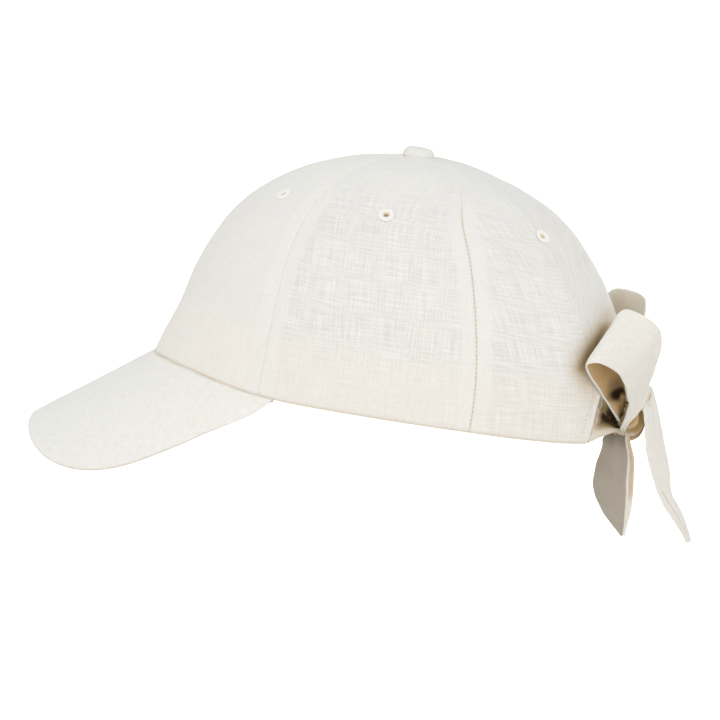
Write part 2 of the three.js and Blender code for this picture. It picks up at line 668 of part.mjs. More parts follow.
function addBow(parent) {
  const room = asSolid(knotGeometry(SEAT_GAP));
  const seated = (geometry) => asGeometry(asSolid(geometry).subtract(room));
  addMesh(parent, 'bow_knot', knotGeometry(), RIBBON_LINEN);
  const tieRows = [tieRoot(), ...TIE_ROWS];
  addMesh(parent, 'bow_loop_left', seated(ribbonGeometry(LEFT_LOOP_ROWS)), RIBBON_LINEN);
  addMesh(parent, 'bow_loop_right', seated(ribbonGeometry(RIGHT_LOOP_ROWS)), RIBBON_LINEN);
  addMesh(parent, 'tie_left', seated(ribbonGeometry(tieRows)), RIBBON_LINEN);
  addMesh(parent, 'tie_right', seated(ribbonGeometry(mirroredRows(tieRows))), RIBBON_LINEN);
  addMesh(parent, 'bow_tail_inner', seated(ribbonGeometry(INNER_TAIL_ROWS, TAIL_CUP)), RIBBON_LINEN);
  addMesh(parent, 'bow_tail_outer', seated(ribbonGeometry(OUTER_TAIL_ROWS, TAIL_CUP)), RIBBON_LINEN);
}

const cap = new THREE.Group();
const wornCrown = new THREE.Group();
wornCrown.rotation.x = -radians(WORN_TILT);
cap.add(wornCrown);
addCrown(wornCrown);
addMesh(wornCrown, 'sweatband', sweatbandGeometry(), BAND_TAPE);
addMesh(wornCrown, 'visor', visorGeometry(), VISOR_LINEN);
addBow(cap);

export default cap;
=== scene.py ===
# Looks of a six-panel linen cap tied at the back in a bow.
# Metres, +Z up. The wearer faces -Y and the wearer's left side is +X. The cap's own sizes are
# in mm and its angles in degrees: turn is the angle away from the front, and rise the angle
# above the opening, both seen from the centre of the opening.
import math
from types import SimpleNamespace

import bmesh
import bpy
import numpy as np
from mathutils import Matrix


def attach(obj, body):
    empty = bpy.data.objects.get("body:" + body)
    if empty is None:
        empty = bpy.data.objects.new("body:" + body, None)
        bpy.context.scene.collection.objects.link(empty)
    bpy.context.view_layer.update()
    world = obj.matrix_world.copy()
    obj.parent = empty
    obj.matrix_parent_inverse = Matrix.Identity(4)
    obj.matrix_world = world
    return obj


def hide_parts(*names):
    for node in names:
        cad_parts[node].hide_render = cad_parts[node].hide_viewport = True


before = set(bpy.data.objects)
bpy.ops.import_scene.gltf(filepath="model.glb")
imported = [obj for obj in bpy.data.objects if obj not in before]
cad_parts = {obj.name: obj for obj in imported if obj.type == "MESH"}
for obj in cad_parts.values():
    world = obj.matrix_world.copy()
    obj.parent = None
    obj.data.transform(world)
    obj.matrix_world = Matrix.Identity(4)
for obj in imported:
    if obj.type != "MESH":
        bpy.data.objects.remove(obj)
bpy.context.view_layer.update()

MM = 0.001
# The rim's lean when worn: lower behind than in front
WORN_TILT = math.radians(9.3)

# Camera of the photograph
CAMERA_AZIMUTH = math.radians(97.288)
CAMERA_ELEVATION = math.radians(7.246)
CAMERA_DISTANCE = 1.6
CAMERA_LENS = 184.0
CAMERA_SHIFT = (-0.0260, 0.0435)

# Light of the studio: a glowing floor, sky and ground all round, and soft lamps, each with its
# azimuth, elevation, distance, size, power and colour
FLOOR_SIZE = 60.0
FLOOR_HEIGHT = -0.30
FLOOR_GLOW = 0.80
SKY = 0.875
GROUND = 0.80
SKY_COLOUR = (0.985, 0.995, 1.0)
GROUND_COLOUR = (1.0, 0.96, 0.90)
LIGHTS = [
    ("side", 97, 8, 2.4, 1.6, 11.5, (1.0, 1.0, 1.0)),
    ("rear", 140, -20, 2.2, 1.4, 1.0, (1.0, 0.99, 0.98)),
]

# Cloth
PANEL_CLOTH = 1.2
SEAM_ALLOWANCE = 6.6
ALLOWANCE_CLOTH = 0.3
BAND_HEIGHT = 27.0
BAND_CLOTH = 1.0
BAND_CLEARANCE = 0.6
RIBBON_CLOTH = 1.4
SEAT_GAP = 0.3

# Crown: distance in mm from the centre of the opening, by the angle above it
CROWN = {
    "rise": [-15, 0, 15, 30, 45, 60, 75, 90],
    "front": [108.0, 99.8, 94.7, 97.4, 101.5, 102.7, 102.9, 103.9],
    "side": [80.1, 79.4, 81.9, 87.6, 94.5, 101.0, 105.1, 103.9],
    "rear": [104.0, 106.4, 107.9, 108.2, 109.0, 108.6, 105.0, 103.9],
}
# Height of the hem by the turn, and the turn of the leaning seams by the rise
HEM = {
    "turn": [0, 30, 60, 90, 120, 150, 180],
    "height": [1.9, 2.8, -0.2, 0.2, 0.3, -0.8, -0.9],
}
SEAM = {
    "rise": [0, 15, 30, 45, 57, 68, 80, 90],
    "front": [59.6, 59.3, 58.0, 55.5, 53.8, 55.5, 60.0, 60.0],
    "rear": [123.8, 123.4, 122.0, 120.7, 120.1, 126.4, 135.0, 138.0],
}
# Panels: the seams at both ends, the eyelet's turn and rise, how dark the shade painted in its hole is, and
# a seed
PANELS = {
    "front": {"seams": ("foremost", "front"), "eyelet": (35.0, 53.1), "hole": 0.35, "seed": 3},
    "side": {"seams": ("front", "rear"), "eyelet": (87.0, 55.4), "hole": 0.95, "seed": 5},
    "rear": {"seams": ("rear", "rearmost"), "eyelet": (153.4, 50.1), "hole": 0.70, "seed": 7},
}
# How opaque each panel's cloth is: by itself, over the sweatband, and over a seam allowance
OPAQUE = {"front": (0.6, 0.5, 0.4), "side": (0.0, 0.5, 0.8), "rear": (0.0, 0.2, 0.8)}
SIDES = {"left": 1.0, "right": -1.0}
SEAM_LINES = [("foremost", 1), ("front", 1), ("front", -1), ("rear", 1), ("rear", -1), ("rearmost", 1)]
# How far a panel swells between its seams, and the rise at which it does so fully
PANEL_PUFF = 0.7
PUFF_START = 20.0
CROWN_HOLE_RADIUS = 2.6

# Soft dents: turn, rise, depth in mm, reach in degrees round and up
DENTS = [
    (168, 69, 1.1, 30, 5),
    (172, 41, 1.1, 16, 5),
    (-168, 60, 0.9, 26, 6),
    (140, 24, 1.2, 7, 20),
    (-138, 22, 1.3, 8, 18),
    (96, 24, 1.0, 12, 9),
    (-84, 28, 1.1, 12, 9),
    (24, 70, 0.8, 20, 6),
    (0, 82, 1.9, 80, 5.5),
    (180, 78, -0.6, 60, 7),
]

# Half-moon opening behind
ARCH_CORNER_TURN = 159.5
ARCH_HEIGHT = 43.0
ARCH_POWER = 2.2

# Eyelet: half the hole cut for it, how far the cloth's grid spreads round that, and its ridges
EYELET = {"cut": 2.2, "reach": 6.0, "pull": 8.0, "ridges": 40}
# Section of an eyelet's ring, over its crest, down the hole and out again inside the cap:
# radius, height, whether it is ridged, how much of its foot it is, and how dark its painted shade is
EYELET_SECTION = [
    (3.50, -0.15, 1, 1.0, 0.0),
    (3.42, 0.12, 1, 0.8, 0.0),
    (3.10, 0.38, 1, 0.0, 0.0),
    (2.60, 0.55, 1, 0.0, 0.0),
    (2.00, 0.52, 1, 0.0, 0.0),
    (1.55, 0.38, 1, 0.0, 0.0),
    (1.22, 0.02, 0, 0.0, 0.4),
    (1.10, -1.00, 0, 0.0, 1.0),
    (1.50, -1.75, 0, 0.0, 1.0),
    (2.10, -2.10, 0, 0.0, 1.0),
    (2.80, -1.95, 0, 0.0, 1.0),
    (3.10, -1.60, 0, 0.0, 1.0),
    (2.90, -1.35, 0, 0.0, 1.0),
    (2.30, -1.20, 0, 0.0, 1.0),
    (2.30, -0.30, 0, 0.0, 1.0),
]
# Button: its dome, how far its foot tucks under, and its place on the crown's top
BUTTON = {"radius": 7.05, "height": 4.6, "foot": 0.2, "tuck": 0.28, "back": 0.5, "sunk": 0.5}

# Rows of stitches: where the first one starts, pitch, length, bare end, and how far each arches
STITCHES = {
    "seam": {"start": 0.9, "pitch": 1.8, "length": 1.1, "end": 1.1, "arch": 0.14},
    "half_moon": {"start": 1.0, "pitch": 2.5, "length": 1.7, "end": 2.0, "arch": 0.12},
    "sweatband": {"start": 1.0, "pitch": 3.0, "length": 2.0, "end": 3.0, "arch": 0.0, "stops": 4},
}
SEAM_STITCH = {"above_hem": 2.0, "top_rise": 64.5, "rear": -0.36, "front": -0.42, "radius": 0.17}
ARCH_STITCH = {"above_edge": 5.5, "lowest": 3.0, "lift": 0.25, "radius": 0.2}
BAND_STITCH = {"from_edge": 2.6, "lift": 0.12, "radius": 0.22}
# Tapes inside over the crown's seams
TAPE = {"half": 6.0, "lift": 0.55, "cloth": 0.5, "top_rise": 85.5, "above_arch": 1.0, "overlap": 4.0}
# Visor: a sheet arched across and drooping forward. The taper narrows it, the tuck brings its
# ends up to the hem, and the dip bends its front down
VISOR = {
    "arch_radius": 86.5,
    "droop": math.radians(36.6),
    "tip": 61.2,
    "corner_turn": 64.4,
    "dip": 0.25,
    "taper": 0.030,
    "taper_reach": ((0.0, 0.32), (0.40, 0.85)),
    "tuck": 23.0,
    "squareness": 3.3,
    "thickness": 2.6,
    "end_thickness": 0.7,
    "end_length": 30.0,
    "root_share": 0.3,
    "root_shade": 0.24,
    "root_reach": 0.5,
}
# Rows over the visor's edge, a rounded lip above a seam between the two cloths: how far out,
# the share of the thickness below the upper face, and shade
VISOR_LIP = [
    (0.22, 0.05, 0.0),
    (0.50, 0.17, 0.0),
    (0.72, 0.36, 0.1),
    (0.62, 0.50, 0.35),
    (0.40, 0.56, 0.6),
    (0.66, 0.62, 0.3),
    (0.72, 0.76, 0.05),
    (0.52, 0.90, 0.1),
    (0.20, 0.985, 0.2),
]
# Knot: its centre, half sizes and the shift of its near end, the mm of weave round and along it,
# and its folds, each with a number and a height as a share of the radius
KNOT = {
    "centre": (0.0, 108.2, -11.3),
    "half": (8.5, 7.2, 8.2),
    "near_end": (-2.2, 3.6),
    "around": 48.0,
    "length": 24.0,
    "folds": (6.0, 0.042),
    "fine_folds": (9.0, 0.015),
}
# Places round the knot, in mm of its weave, that the near loop covers and that face down, where dark shade
# is painted
KNOT_UNDER_LOOP = ((7.0, 13.0), (23.5, 28.0))
KNOT_BENEATH = ((28.0, 31.0), (42.0, 46.0))
# Ribbon: half its flat width, the reach of its gathers, and the height of their pleats
RIBBON = {"half": 15.0, "gathered": 15.0, "pleat": 0.85, "columns": 67}

# Ribbon sections: the two long edges of the ribbon, ax ay az and bx by bz
LEFT_LOOP = [
    (3, 109.1, -13.4, -1, 110.5, -12.1),
    (6, 105.4, -11.7, 3, 108.6, -7.3),
    (20, 103.0, -4.7, 6, 107.4, 0.9),
    (33, 99.7, 3.4, 15.5, 106.6, 14.6),
    (43, 95.9, 11.3, 24, 104.0, 28.3),
    (49, 93.6, 17.5, 28, 104.8, 36.0),
    (51, 95.0, 19.6, 30, 109.0, 40.3),
    (51, 99.6, 19.8, 29.5, 116.2, 37.7),
    (46, 106.4, 15.3, 26.3, 123.2, 31.6),
    (38, 109.3, 8.8, 21, 123.4, 23.6),
    (30, 110.2, 2.7, 16, 121.1, 15.7),
    (21, 109.5, -2.3, 11, 118.3, 6.9),
    (15, 108.4, -6.6, 9, 116.6, -0.7),
    (11.6, 106.8, -10.5, 9.9, 112.8, -7.2),
    (9.8, 105.6, -13.1, 9.9, 108.8, -11.8),
    (5.5, 106.2, -15.2, 5.5, 107.9, -14.8),
]
RIGHT_LOOP = [
    (-3, 109.0, -13.0, 1, 110.8, -11.5),
    (-8, 106.4, -11.0, -1.5, 109.2, -8.0),
    (-20, 104.4, -4.6, -6, 107.4, 1.0),
    (-33, 101.2, 4.0, -16, 106.8, 16.0),
    (-45, 95.8, 12.1, -26, 101.6, 30.2),
    (-52, 92.2, 18.4, -32, 96.6, 37.5),
    (-54, 93.8, 20.9, -31.5, 99.9, 42.8),
    (-53, 98.3, 21.1, -29.5, 107.1, 42.7),
    (-49, 103.8, 17.0, -27, 113.8, 39.3),
    (-41, 106.4, 10.0, -23, 114.2, 31.0),
    (-32, 108.0, 4.0, -17.5, 114.4, 20.5),
    (-22, 108.8, -1.4, -12, 112.8, 9.0),
    (-12.5, 108.8, -6.0, -6, 111.8, -1.5),
    (-4, 108.8, -9.6, 1, 110.4, -9.0),
]
TIE = [
    (27.5, 97.4, -15.1, 29.0, 98.7, -3.2),
    (15.0, 101.2, -14.7, 18.5, 101.0, -7.5),
    (7.5, 104.6, -14.8, 8.5, 103.8, -11.6),
    (2.0, 108.4, -14.2, 1.5, 107.8, -12.0),
]
# Width of a tie's seat in degrees, and its height as a share of the half-moon's
TIE_ROOT = {"turn": 1.4, "height": 0.36}
INNER_TAIL = [
    (-1, 107.2, -14.4, 3, 109.9, -13.3),
    (-2, 98.3, -18.2, 7, 109.6, -17.2),
    (-3, 97.2, -22.6, 11, 110.6, -20.6),
    (-5, 95.5, -28.2, 18, 112.4, -25.6),
    (-6, 93.5, -36.8, 20, 112.4, -32.2),
    (-6, 93.8, -42.0, 20, 112.0, -39.0),
    (-3, 96.5, -49.4, 17, 110.9, -47.3),
    (2, 101.1, -54.9, 13, 109.4, -53.6),
    (8.6, 106.6, -59.9, 10.8, 107.7, -59.5),
]
OUTER_TAIL = [
    (3, 110.3, -12.0, -2, 112.6, -7.4),
    (5, 112.8, -6.5, -4, 117.3, 3.7),
    (7, 115.2, -6.2, -9, 120.0, -4.1),
    (9, 116.3, -16.7, -14, 122.7, -19.4),
    (11, 117.6, -25.1, -17, 124.6, -29.0),
    (10, 119.7, -33.9, -19, 125.8, -36.8),
    (8, 122.4, -41.7, -21, 126.5, -45.5),
    (4, 125.6, -49.0, -21, 129.2, -51.2),
    (-4, 130.0, -57.1, -20, 132.1, -56.7),
    (-13, 134.0, -65.9, -17, 135.2, -65.9),
]


def add_object(name, data):
    thing = bpy.data.objects.new(name, data)
    bpy.context.scene.collection.objects.link(thing)
    return thing


def aim(thing, azimuth, elevation, distance):
    """Turns a camera or lamp to the origin, from an azimuth and elevation in radians."""
    a, e = azimuth, elevation
    toward = np.array([math.sin(a) * math.cos(e), -math.cos(a) * math.cos(e), math.sin(e)])
    thing.location = (toward * distance).tolist()
    thing.rotation_euler = (math.pi / 2 - e, 0.0, a)


def add_camera():
    data = bpy.data.cameras.new("camera")
    camera = add_object("camera", data)
    aim(camera, CAMERA_AZIMUTH, CAMERA_ELEVATION, CAMERA_DISTANCE)
    data.lens = CAMERA_LENS
    data.sensor_width = 36.0
    data.shift_x, data.shift_y = CAMERA_SHIFT
    data.clip_start, data.clip_end = 0.05, 200.0
    bpy.context.scene.camera = camera


add_camera()


# Reading the tables

def table_at(table, key, column, at):
    """A cubic through the column's values, level at both ends."""
    x = np.asarray(table[key], float)
    y = np.asarray(table[column], float)
    slope = np.zeros_like(y)
    slope[1:-1] = (y[2:] - y[:-2]) / (x[2:] - x[:-2])
    place = np.clip(at, x[0], x[-1])
    i = np.clip(np.searchsorted(x, place, side="right") - 1, 0, len(x) - 2)
    span = x[i + 1] - x[i]
    t = (place - x[i]) / span
    rest = 1 - t
    values = (1 + 2 * t) * rest**2 * y[i] + (3 - 2 * t) * t**2 * y[i + 1]
    return values + t * rest**2 * span * slope[i] - t**2 * rest * span * slope[i + 1]


def smoothstep(x, start, end):
    t = np.clip((x - start) / (end - start), 0, 1)
    return t * t * (3 - 2 * t)


def between(x, begin, end):
    """1 between two soft steps, each a pair of where it starts and where it is done."""
    return smoothstep(x, *begin) * (1 - smoothstep(x, *end))


def bell(x, centre, width):
    return np.exp(-(((x - centre) / width) ** 2))


def unit(vectors):
    return vectors / np.maximum(np.linalg.norm(vectors, axis=-1, keepdims=True), 1e-9)


def ripple(x, y, wavelength, seed):
    """Smooth unevenness between about -1 and 1, from a few crossing waves."""
    draw = np.random.default_rng(seed)
    total = 0.0
    for _ in range(5):
        turn = draw.uniform(0, 2 * math.pi)
        phase = draw.uniform(0, 2 * math.pi)
        number = 2 * math.pi / (wavelength * draw.uniform(0.7, 1.5))
        total = total + np.sin(number * (x * math.cos(turn) + y * math.sin(turn)) + phase)
    return total / 3


def seam_turn(seam, rise):
    """Angle away from the front of a seam, which leans with the angle above the opening."""
    if seam in ("foremost", "rearmost"):
        return (180.0 if seam == "rearmost" else 0.0) + 0 * np.asarray(rise, float)
    return table_at(SEAM, "rise", seam, rise)


def panel_share(turn, rise):
    away = np.abs(turn)
    front, rear = seam_turn("front", rise), seam_turn("rear", rise)
    start = np.select([away <= front, away <= rear], [0 * front, front], rear)
    end = np.select([away <= front, away <= rear], [front, rear], 180 + 0 * rear)
    return np.clip((away - start) / (end - start), 0, 1)


def crown_radius(turn, rise):
    turn, rise = np.broadcast_arrays(np.asarray(turn, float), np.asarray(rise, float))
    ahead, aside = np.cos(np.radians(turn)), np.sin(np.radians(turn))
    front = table_at(CROWN, "rise", "front", rise)
    rear = table_at(CROWN, "rise", "rear", rise)
    across = table_at(CROWN, "rise", "side", rise)
    base = 1 / np.hypot(ahead / np.where(ahead > 0, front, rear), aside / across)
    from_seam = 1 - (2 * panel_share(turn, rise) - 1) ** 4
    from_rim = np.clip(rise / PUFF_START, 0, 1)
    swell = PANEL_PUFF * from_seam * from_rim * np.sqrt(np.clip(np.cos(np.radians(rise)), 0, 1))
    depth = 0.0
    for dent_turn, dent_rise, deep, turn_reach, rise_reach in DENTS:
        round_it = (((turn - dent_turn + 540) % 360) - 180) / turn_reach
        depth = depth + deep * np.exp(-(round_it**2) - ((rise - dent_rise) / rise_reach) ** 2)
    return base + swell - depth


def crown_point(turn, rise, lift=0.0):
    radius = crown_radius(turn, rise) + lift
    level = radius * np.cos(np.radians(rise))
    x = level * np.sin(np.radians(turn))
    y = -level * np.cos(np.radians(turn))
    return np.stack([x, y, radius * np.sin(np.radians(rise))], axis=-1)


def rise_at(turn, above_hem):
    height = table_at(HEM, "turn", "height", np.abs(turn)) + above_hem
    rise = np.zeros(np.broadcast(turn, above_hem).shape)
    for _ in range(12):
        rise = np.degrees(np.arcsin(np.clip(height / crown_radius(turn, rise), -1, 1)))
    return rise


def arch_height(turn):
    share = np.clip((180 - np.abs(turn)) / (180 - ARCH_CORNER_TURN), 0, 1)
    return ARCH_HEIGHT * (1 - share**ARCH_POWER) ** (1 / ARCH_POWER)


def worn(points):
    """From the cap's own frame, level at its rim, to the frame it is worn in."""
    c, s = math.cos(WORN_TILT), math.sin(WORN_TILT)
    x, y, z = points[..., 0], points[..., 1], points[..., 2]
    return np.stack([x, y * c + z * s, -y * s + z * c], axis=-1)


# Making meshes

def new_object(name, points, faces, weave, attributes=None):
    """A mesh from points in mm. weave holds one pair for each corner of each face."""
    mesh = bpy.data.meshes.new(name)
    mesh.from_pydata((np.asarray(points) * MM).tolist(), [], faces)
    layer = mesh.uv_layers.new(name="weave")
    layer.data.foreach_set("uv", np.asarray(weave, float).ravel())
    for key, values in (attributes or {}).items():
        attribute = mesh.attributes.new(key, "FLOAT", "POINT")
        attribute.data.foreach_set("value", np.asarray(values, float).ravel())
    mesh.polygons.foreach_set("use_smooth", [True] * len(mesh.polygons))
    made = bmesh.new()
    made.from_mesh(mesh)
    bmesh.ops.recalc_face_normals(made, faces=made.faces)
    made.to_mesh(mesh)
    made.free()
    mesh.update()
    return add_object(name, mesh)


def shell(name, outer, inner, weave, attributes=None, hole=None):
    """A closed cloth between two grids of points, with one cell left open where hole says."""
    rows, columns = outer.shape[:2]
    points = np.concatenate([outer.reshape(-1, 3), inner.reshape(-1, 3)])
    faces = []

    def at(side, r, c):
        return (side * rows + r) * columns + c

    for r in range(rows - 1):
        for c in range(columns - 1):
            if (r, c) == hole:
                continue
            faces.append((at(0, r, c), at(0, r, c + 1), at(0, r + 1, c + 1), at(0, r + 1, c)))
            faces.append((at(1, r, c), at(1, r + 1, c), at(1, r + 1, c + 1), at(1, r, c + 1)))
    rim = [(0, c) for c in range(columns - 1)]
    rim += [(r, columns - 1) for r in range(rows - 1)]
    rim += [(rows - 1, c) for c in range(columns - 1, 0, -1)]
    rim += [(r, 0) for r in range(rows - 1, 0, -1)]
    loops = [rim]
    if hole is not None:
        r, c = hole
        loops.append([(r, c), (r + 1, c), (r + 1, c + 1), (r, c + 1)])
    for loop in loops:
        for one, two in zip(loop, loop[1:] + loop[:1]):
            faces.append((at(0, *two), at(0, *one), at(1, *one), at(1, *two)))
    flat = np.concatenate([weave.reshape(-1, 2)] * 2)
    corners = flat[np.array(faces).ravel()]
    both = {}
    for key, value in (attributes or {}).items():
        pair = value if isinstance(value, tuple) else (value, value)
        both[key] = np.concatenate([np.broadcast_to(v, (rows, columns)).ravel() for v in pair])
    return new_object(name, points, faces, corners, both)


def ring(name, points, weave_size, attributes=None, caps=False):
    """A surface closed round its columns, and along its rows too unless it has caps."""
    rows, columns = points.shape[:2]
    faces, corners = [], []
    last = rows - 1 if caps else rows
    wide, long = weave_size
    for r in range(last):
        for c in range(columns):
            quad = [(r, c), (r, c + 1), (r + 1, c + 1), (r + 1, c)]
            faces.append(tuple((i % rows) * columns + j % columns for i, j in quad))
            corners += [(j / columns * wide, i / last * long) for i, j in quad]
    if caps:
        for r in (0, rows - 1):
            faces.append(tuple(r * columns + c for c in range(columns)))
            corners += [(c / columns * wide, r / last * long) for c in range(columns)]
    flat = {k: np.broadcast_to(v, (rows, columns)) for k, v in (attributes or {}).items()}
    return new_object(name, points.reshape(-1, 3), faces, corners, flat)


def turned(centre, radius, height, swing, across, up, axis):
    """Points round an axis, each with its radius, height and swing."""
    return (
        centre
        + (radius * np.cos(swing))[..., None] * across
        + (radius * np.sin(swing))[..., None] * up
        + (height + 0 * swing)[..., None] * axis
    )


def threads(name, paths, radius, sides=6):
    """Short threads, each a round tube with tapered ends along its own points."""
    points, faces = [], []
    for path in paths:
        path = np.asarray(path, float)
        count = len(path)
        ahead = unit(np.gradient(path, axis=0))
        helper = np.array([0.0, 0.0, 1.0]) if abs(ahead[0][2]) < 0.8 else np.array([1.0, 0.0, 0.0])
        first = unit(np.cross(ahead, helper))
        second = np.cross(ahead, first)
        start = len(points)
        for k in range(count):
            thick = radius * (1.0 if 0 < k < count - 1 else 0.45)
            for s in range(sides):
                swing = 2 * math.pi * s / sides
                points.append(path[k] + thick * (math.cos(swing) * first[k] + math.sin(swing) * second[k]))
        for k in range(count - 1):
            for s in range(sides):
                near = start + k * sides
                nxt = (s + 1) % sides
                faces.append((near + s, near + nxt, near + sides + nxt, near + sides + s))
        faces.append(tuple(start + s for s in range(sides)))
        faces.append(tuple(start + (count - 1) * sides + s for s in range(sides)))
    points = np.array(points)
    corners = points[np.concatenate([np.array(f) for f in faces])][:, [1, 2]]
    return new_object(name, points, faces, corners)


def finish_piece(piece, material, slot, *nodes):
    piece.data.materials.append(material)
    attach(piece, "root")
    if nodes:
        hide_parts(*nodes)


# Materials

class Tree:
    """Short calls for building a material's nodes."""

    def __init__(self, name):
        self.material = bpy.data.materials.new(name)
        self.material.use_nodes = True
        self.nodes = self.material.node_tree.nodes
        self.links = self.material.node_tree.links
        self.shader = self.nodes["Principled BSDF"]

    def put(self, socket, value):
        if isinstance(value, bpy.types.NodeSocket):
            self.links.new(value, socket)
        else:
            socket.default_value = value

    def set(self, name, value):
        self.put(self.shader.inputs[name], value)

    def math(self, operation, *values):
        node = self.nodes.new("ShaderNodeMath")
        node.operation = operation
        for socket, value in zip(node.inputs, values):
            self.put(socket, value)
        return node.outputs[0]

    def plus(self, one, two):
        return self.math("ADD", one, two)

    def minus(self, one, two):
        return self.math("SUBTRACT", one, two)

    def times(self, one, two):
        return self.math("MULTIPLY", one, two)

    def weave(self):
        node = self.nodes.new("ShaderNodeUVMap")
        node.uv_map = "weave"
        return node.outputs[0]

    def attribute(self, name):
        node = self.nodes.new("ShaderNodeAttribute")
        node.attribute_name = name
        return node.outputs["Fac"]

    def noise(self, vector, waves, detail):
        """Noise with so many waves in a mm across and along the cloth."""
        scaled = self.nodes.new("ShaderNodeVectorMath")
        scaled.operation = "MULTIPLY"
        self.put(scaled.inputs[0], vector)
        scaled.inputs[1].default_value = (*waves, 1.0)
        node = self.nodes.new("ShaderNodeTexNoise")
        node.inputs["Scale"].default_value = 1.0
        node.inputs["Detail"].default_value = detail
        self.put(node.inputs["Vector"], scaled.outputs[0])
        return node.outputs["Fac"]

    def mix(self, factor, one, two, blend="MIX"):
        """Two colours mixed, each a socket or its red, green and blue."""
        node = self.nodes.new("ShaderNodeMix")
        node.data_type = "RGBA"
        node.blend_type = blend
        self.put(node.inputs["Factor"], factor)
        for socket, colour in zip(node.inputs[6:8], (one, two)):
            self.put(socket, (*colour, 1) if isinstance(colour, tuple) else colour)
        return node.outputs[2]

    def span(self, value, low, high, out_low=0.0, out_high=1.0):
        node = self.nodes.new("ShaderNodeMapRange")
        for socket, number in zip(node.inputs, (value, low, high, out_low, out_high)):
            self.put(socket, number)
        return node.outputs[0]

    def relief(self, height, strength, distance):
        node = self.nodes.new("ShaderNodeBump")
        node.inputs["Strength"].default_value = strength
        node.inputs["Distance"].default_value = distance
        self.put(node.inputs["Height"], height)
        self.set("Normal", node.outputs[0])


BAND_TINT = (1.012, 0.994, 0.978)
WARM_TINT = (1.003, 1.0, 0.972)
COOL_TINT = (0.997, 1.0, 1.022)
DEEP_SHADE = (0.035, 0.022, 0.010)
YARN_SHADE = (0.98, 0.74, 0.42)

# Waves in a mm of the threads' unevenness, of slubs, of soft clouds and of warmer patches
THREAD_WAVES = 1.15
SLUB_WAVES = (0.45, 0.06)
CLOUD_WAVES = (0.045, 0.045)
WARMTH_WAVES = (0.32, 0.32)
FIBRE_WAVES = (4.0, 0.8)

# Tone: how strongly threads show in sheer and in doubled cloth, and slubs and clouds beside them
THREAD_TONE = (0.33, 0.10)
SLUB_TONE = 0.13
CLOUD_TONE = 0.020
LINEN_SHEEN = 0.1
LINEN_GLOSS = 0.25


def linen(name, opaque, sheer, shade_tan, pitch=0.7, contrast=1.0, through=0.0, run=0.26, folded=False):
    """Plain-woven linen. Its weave follows the weave map, in mm. The attribute layers says
    where it is doubled, band where the tape inside shows, shade where tan shade is painted
    where cloth lies close to cloth, and deep where dark is painted in folds that keep the light
    out. Only folded cloth has such deep places, and its sheen and gloss fade in them."""
    tree = Tree(name)
    weave = tree.weave()
    split = tree.nodes.new("ShaderNodeSeparateXYZ")
    tree.put(split.inputs[0], weave)
    number = 2 * math.pi / pitch
    warp, weft = [tree.math("SINE", tree.times(split.outputs[k], number)) for k in (0, 1)]
    cross = tree.times(warp, weft)
    down = tree.noise(weave, (THREAD_WAVES / pitch, run), 1.5)
    along = tree.noise(weave, (run, THREAD_WAVES / pitch), 1.5)
    streaks = tree.plus(tree.plus(down, along), tree.times(cross, 0.24))
    slubs = tree.plus(tree.noise(weave, SLUB_WAVES, 1.0), tree.noise(weave, SLUB_WAVES[::-1], 1.0))
    cloud = tree.noise(weave, CLOUD_WAVES, 2.0)
    warmth = tree.noise(weave, WARMTH_WAVES, 3.0)
    layers, deep = tree.attribute("layers"), tree.attribute("deep")
    gain = tree.span(layers, 0.0, 0.6, *[tone * contrast for tone in THREAD_TONE])
    threads_part = tree.times(tree.minus(streaks, 1.0), gain)
    slub_part = tree.times(tree.minus(slubs, 1.0), tree.times(gain, SLUB_TONE))
    cloud_part = tree.times(tree.minus(cloud, 0.5), CLOUD_TONE)
    light = tree.plus(tree.plus(threads_part, slub_part), tree.plus(cloud_part, 1.0))
    grey = tree.nodes.new("ShaderNodeCombineXYZ")
    for socket in grey.inputs:
        tree.put(socket, light)

    base = tree.mix(layers, sheer, opaque)
    tint = tree.mix(tree.attribute("band"), (1, 1, 1), BAND_TINT)
    base = tree.mix(1.0, base, tint, "MULTIPLY")
    tint = tree.mix(tree.span(warmth, 0.35, 0.65), COOL_TINT, WARM_TINT)
    base = tree.mix(1.0, base, tint, "MULTIPLY")
    # Painted shade: tan by the attribute shade, then dark by the attribute deep
    base = tree.mix(tree.attribute("shade"), base, shade_tan)
    woven = tree.mix(1.0, base, grey.outputs[0], "MULTIPLY")
    tree.set("Base Color", tree.mix(deep, woven, DEEP_SHADE))
    tree.set("Roughness", tree.span(streaks, 0.6, 1.4, 0.95, 0.82))
    in_light = tree.minus(1.0, deep)
    tree.set("Sheen Weight", tree.times(in_light, LINEN_SHEEN) if folded else LINEN_SHEEN)
    tree.set("Specular IOR Level", tree.times(in_light, LINEN_GLOSS) if folded else LINEN_GLOSS)
    tree.set("Sheen Roughness", 0.6)
    if through:
        tree.set("Subsurface Weight", through)
        tree.set("Subsurface Radius", (1.0, 0.75, 0.45))
        tree.set("Subsurface Scale", 0.002)
    tree.relief(tree.plus(streaks, tree.times(cross, 0.25)), 0.35, 0.0004)
    return tree.material


def yarn(name, light, dark):
    """Sewing and embroidery thread: fine twisted fibres across the weave map."""
    tree = Tree(name)
    fibres = tree.noise(tree.weave(), FIBRE_WAVES, 3.0)
    colour = tree.mix(tree.span(fibres, 0.3, 0.7), dark, light)
    # Painted shade where the attribute shade says, as down an eyelet's hole
    tree.set("Base Color", tree.mix(tree.attribute("shade"), colour, YARN_SHADE))
    tree.set("Roughness", tree.span(fibres, 0.2, 0.8, 0.75, 0.5))
    tree.set("Sheen Weight", 0.2)
    tree.relief(fibres, 0.4, 0.0002)
    return tree.material


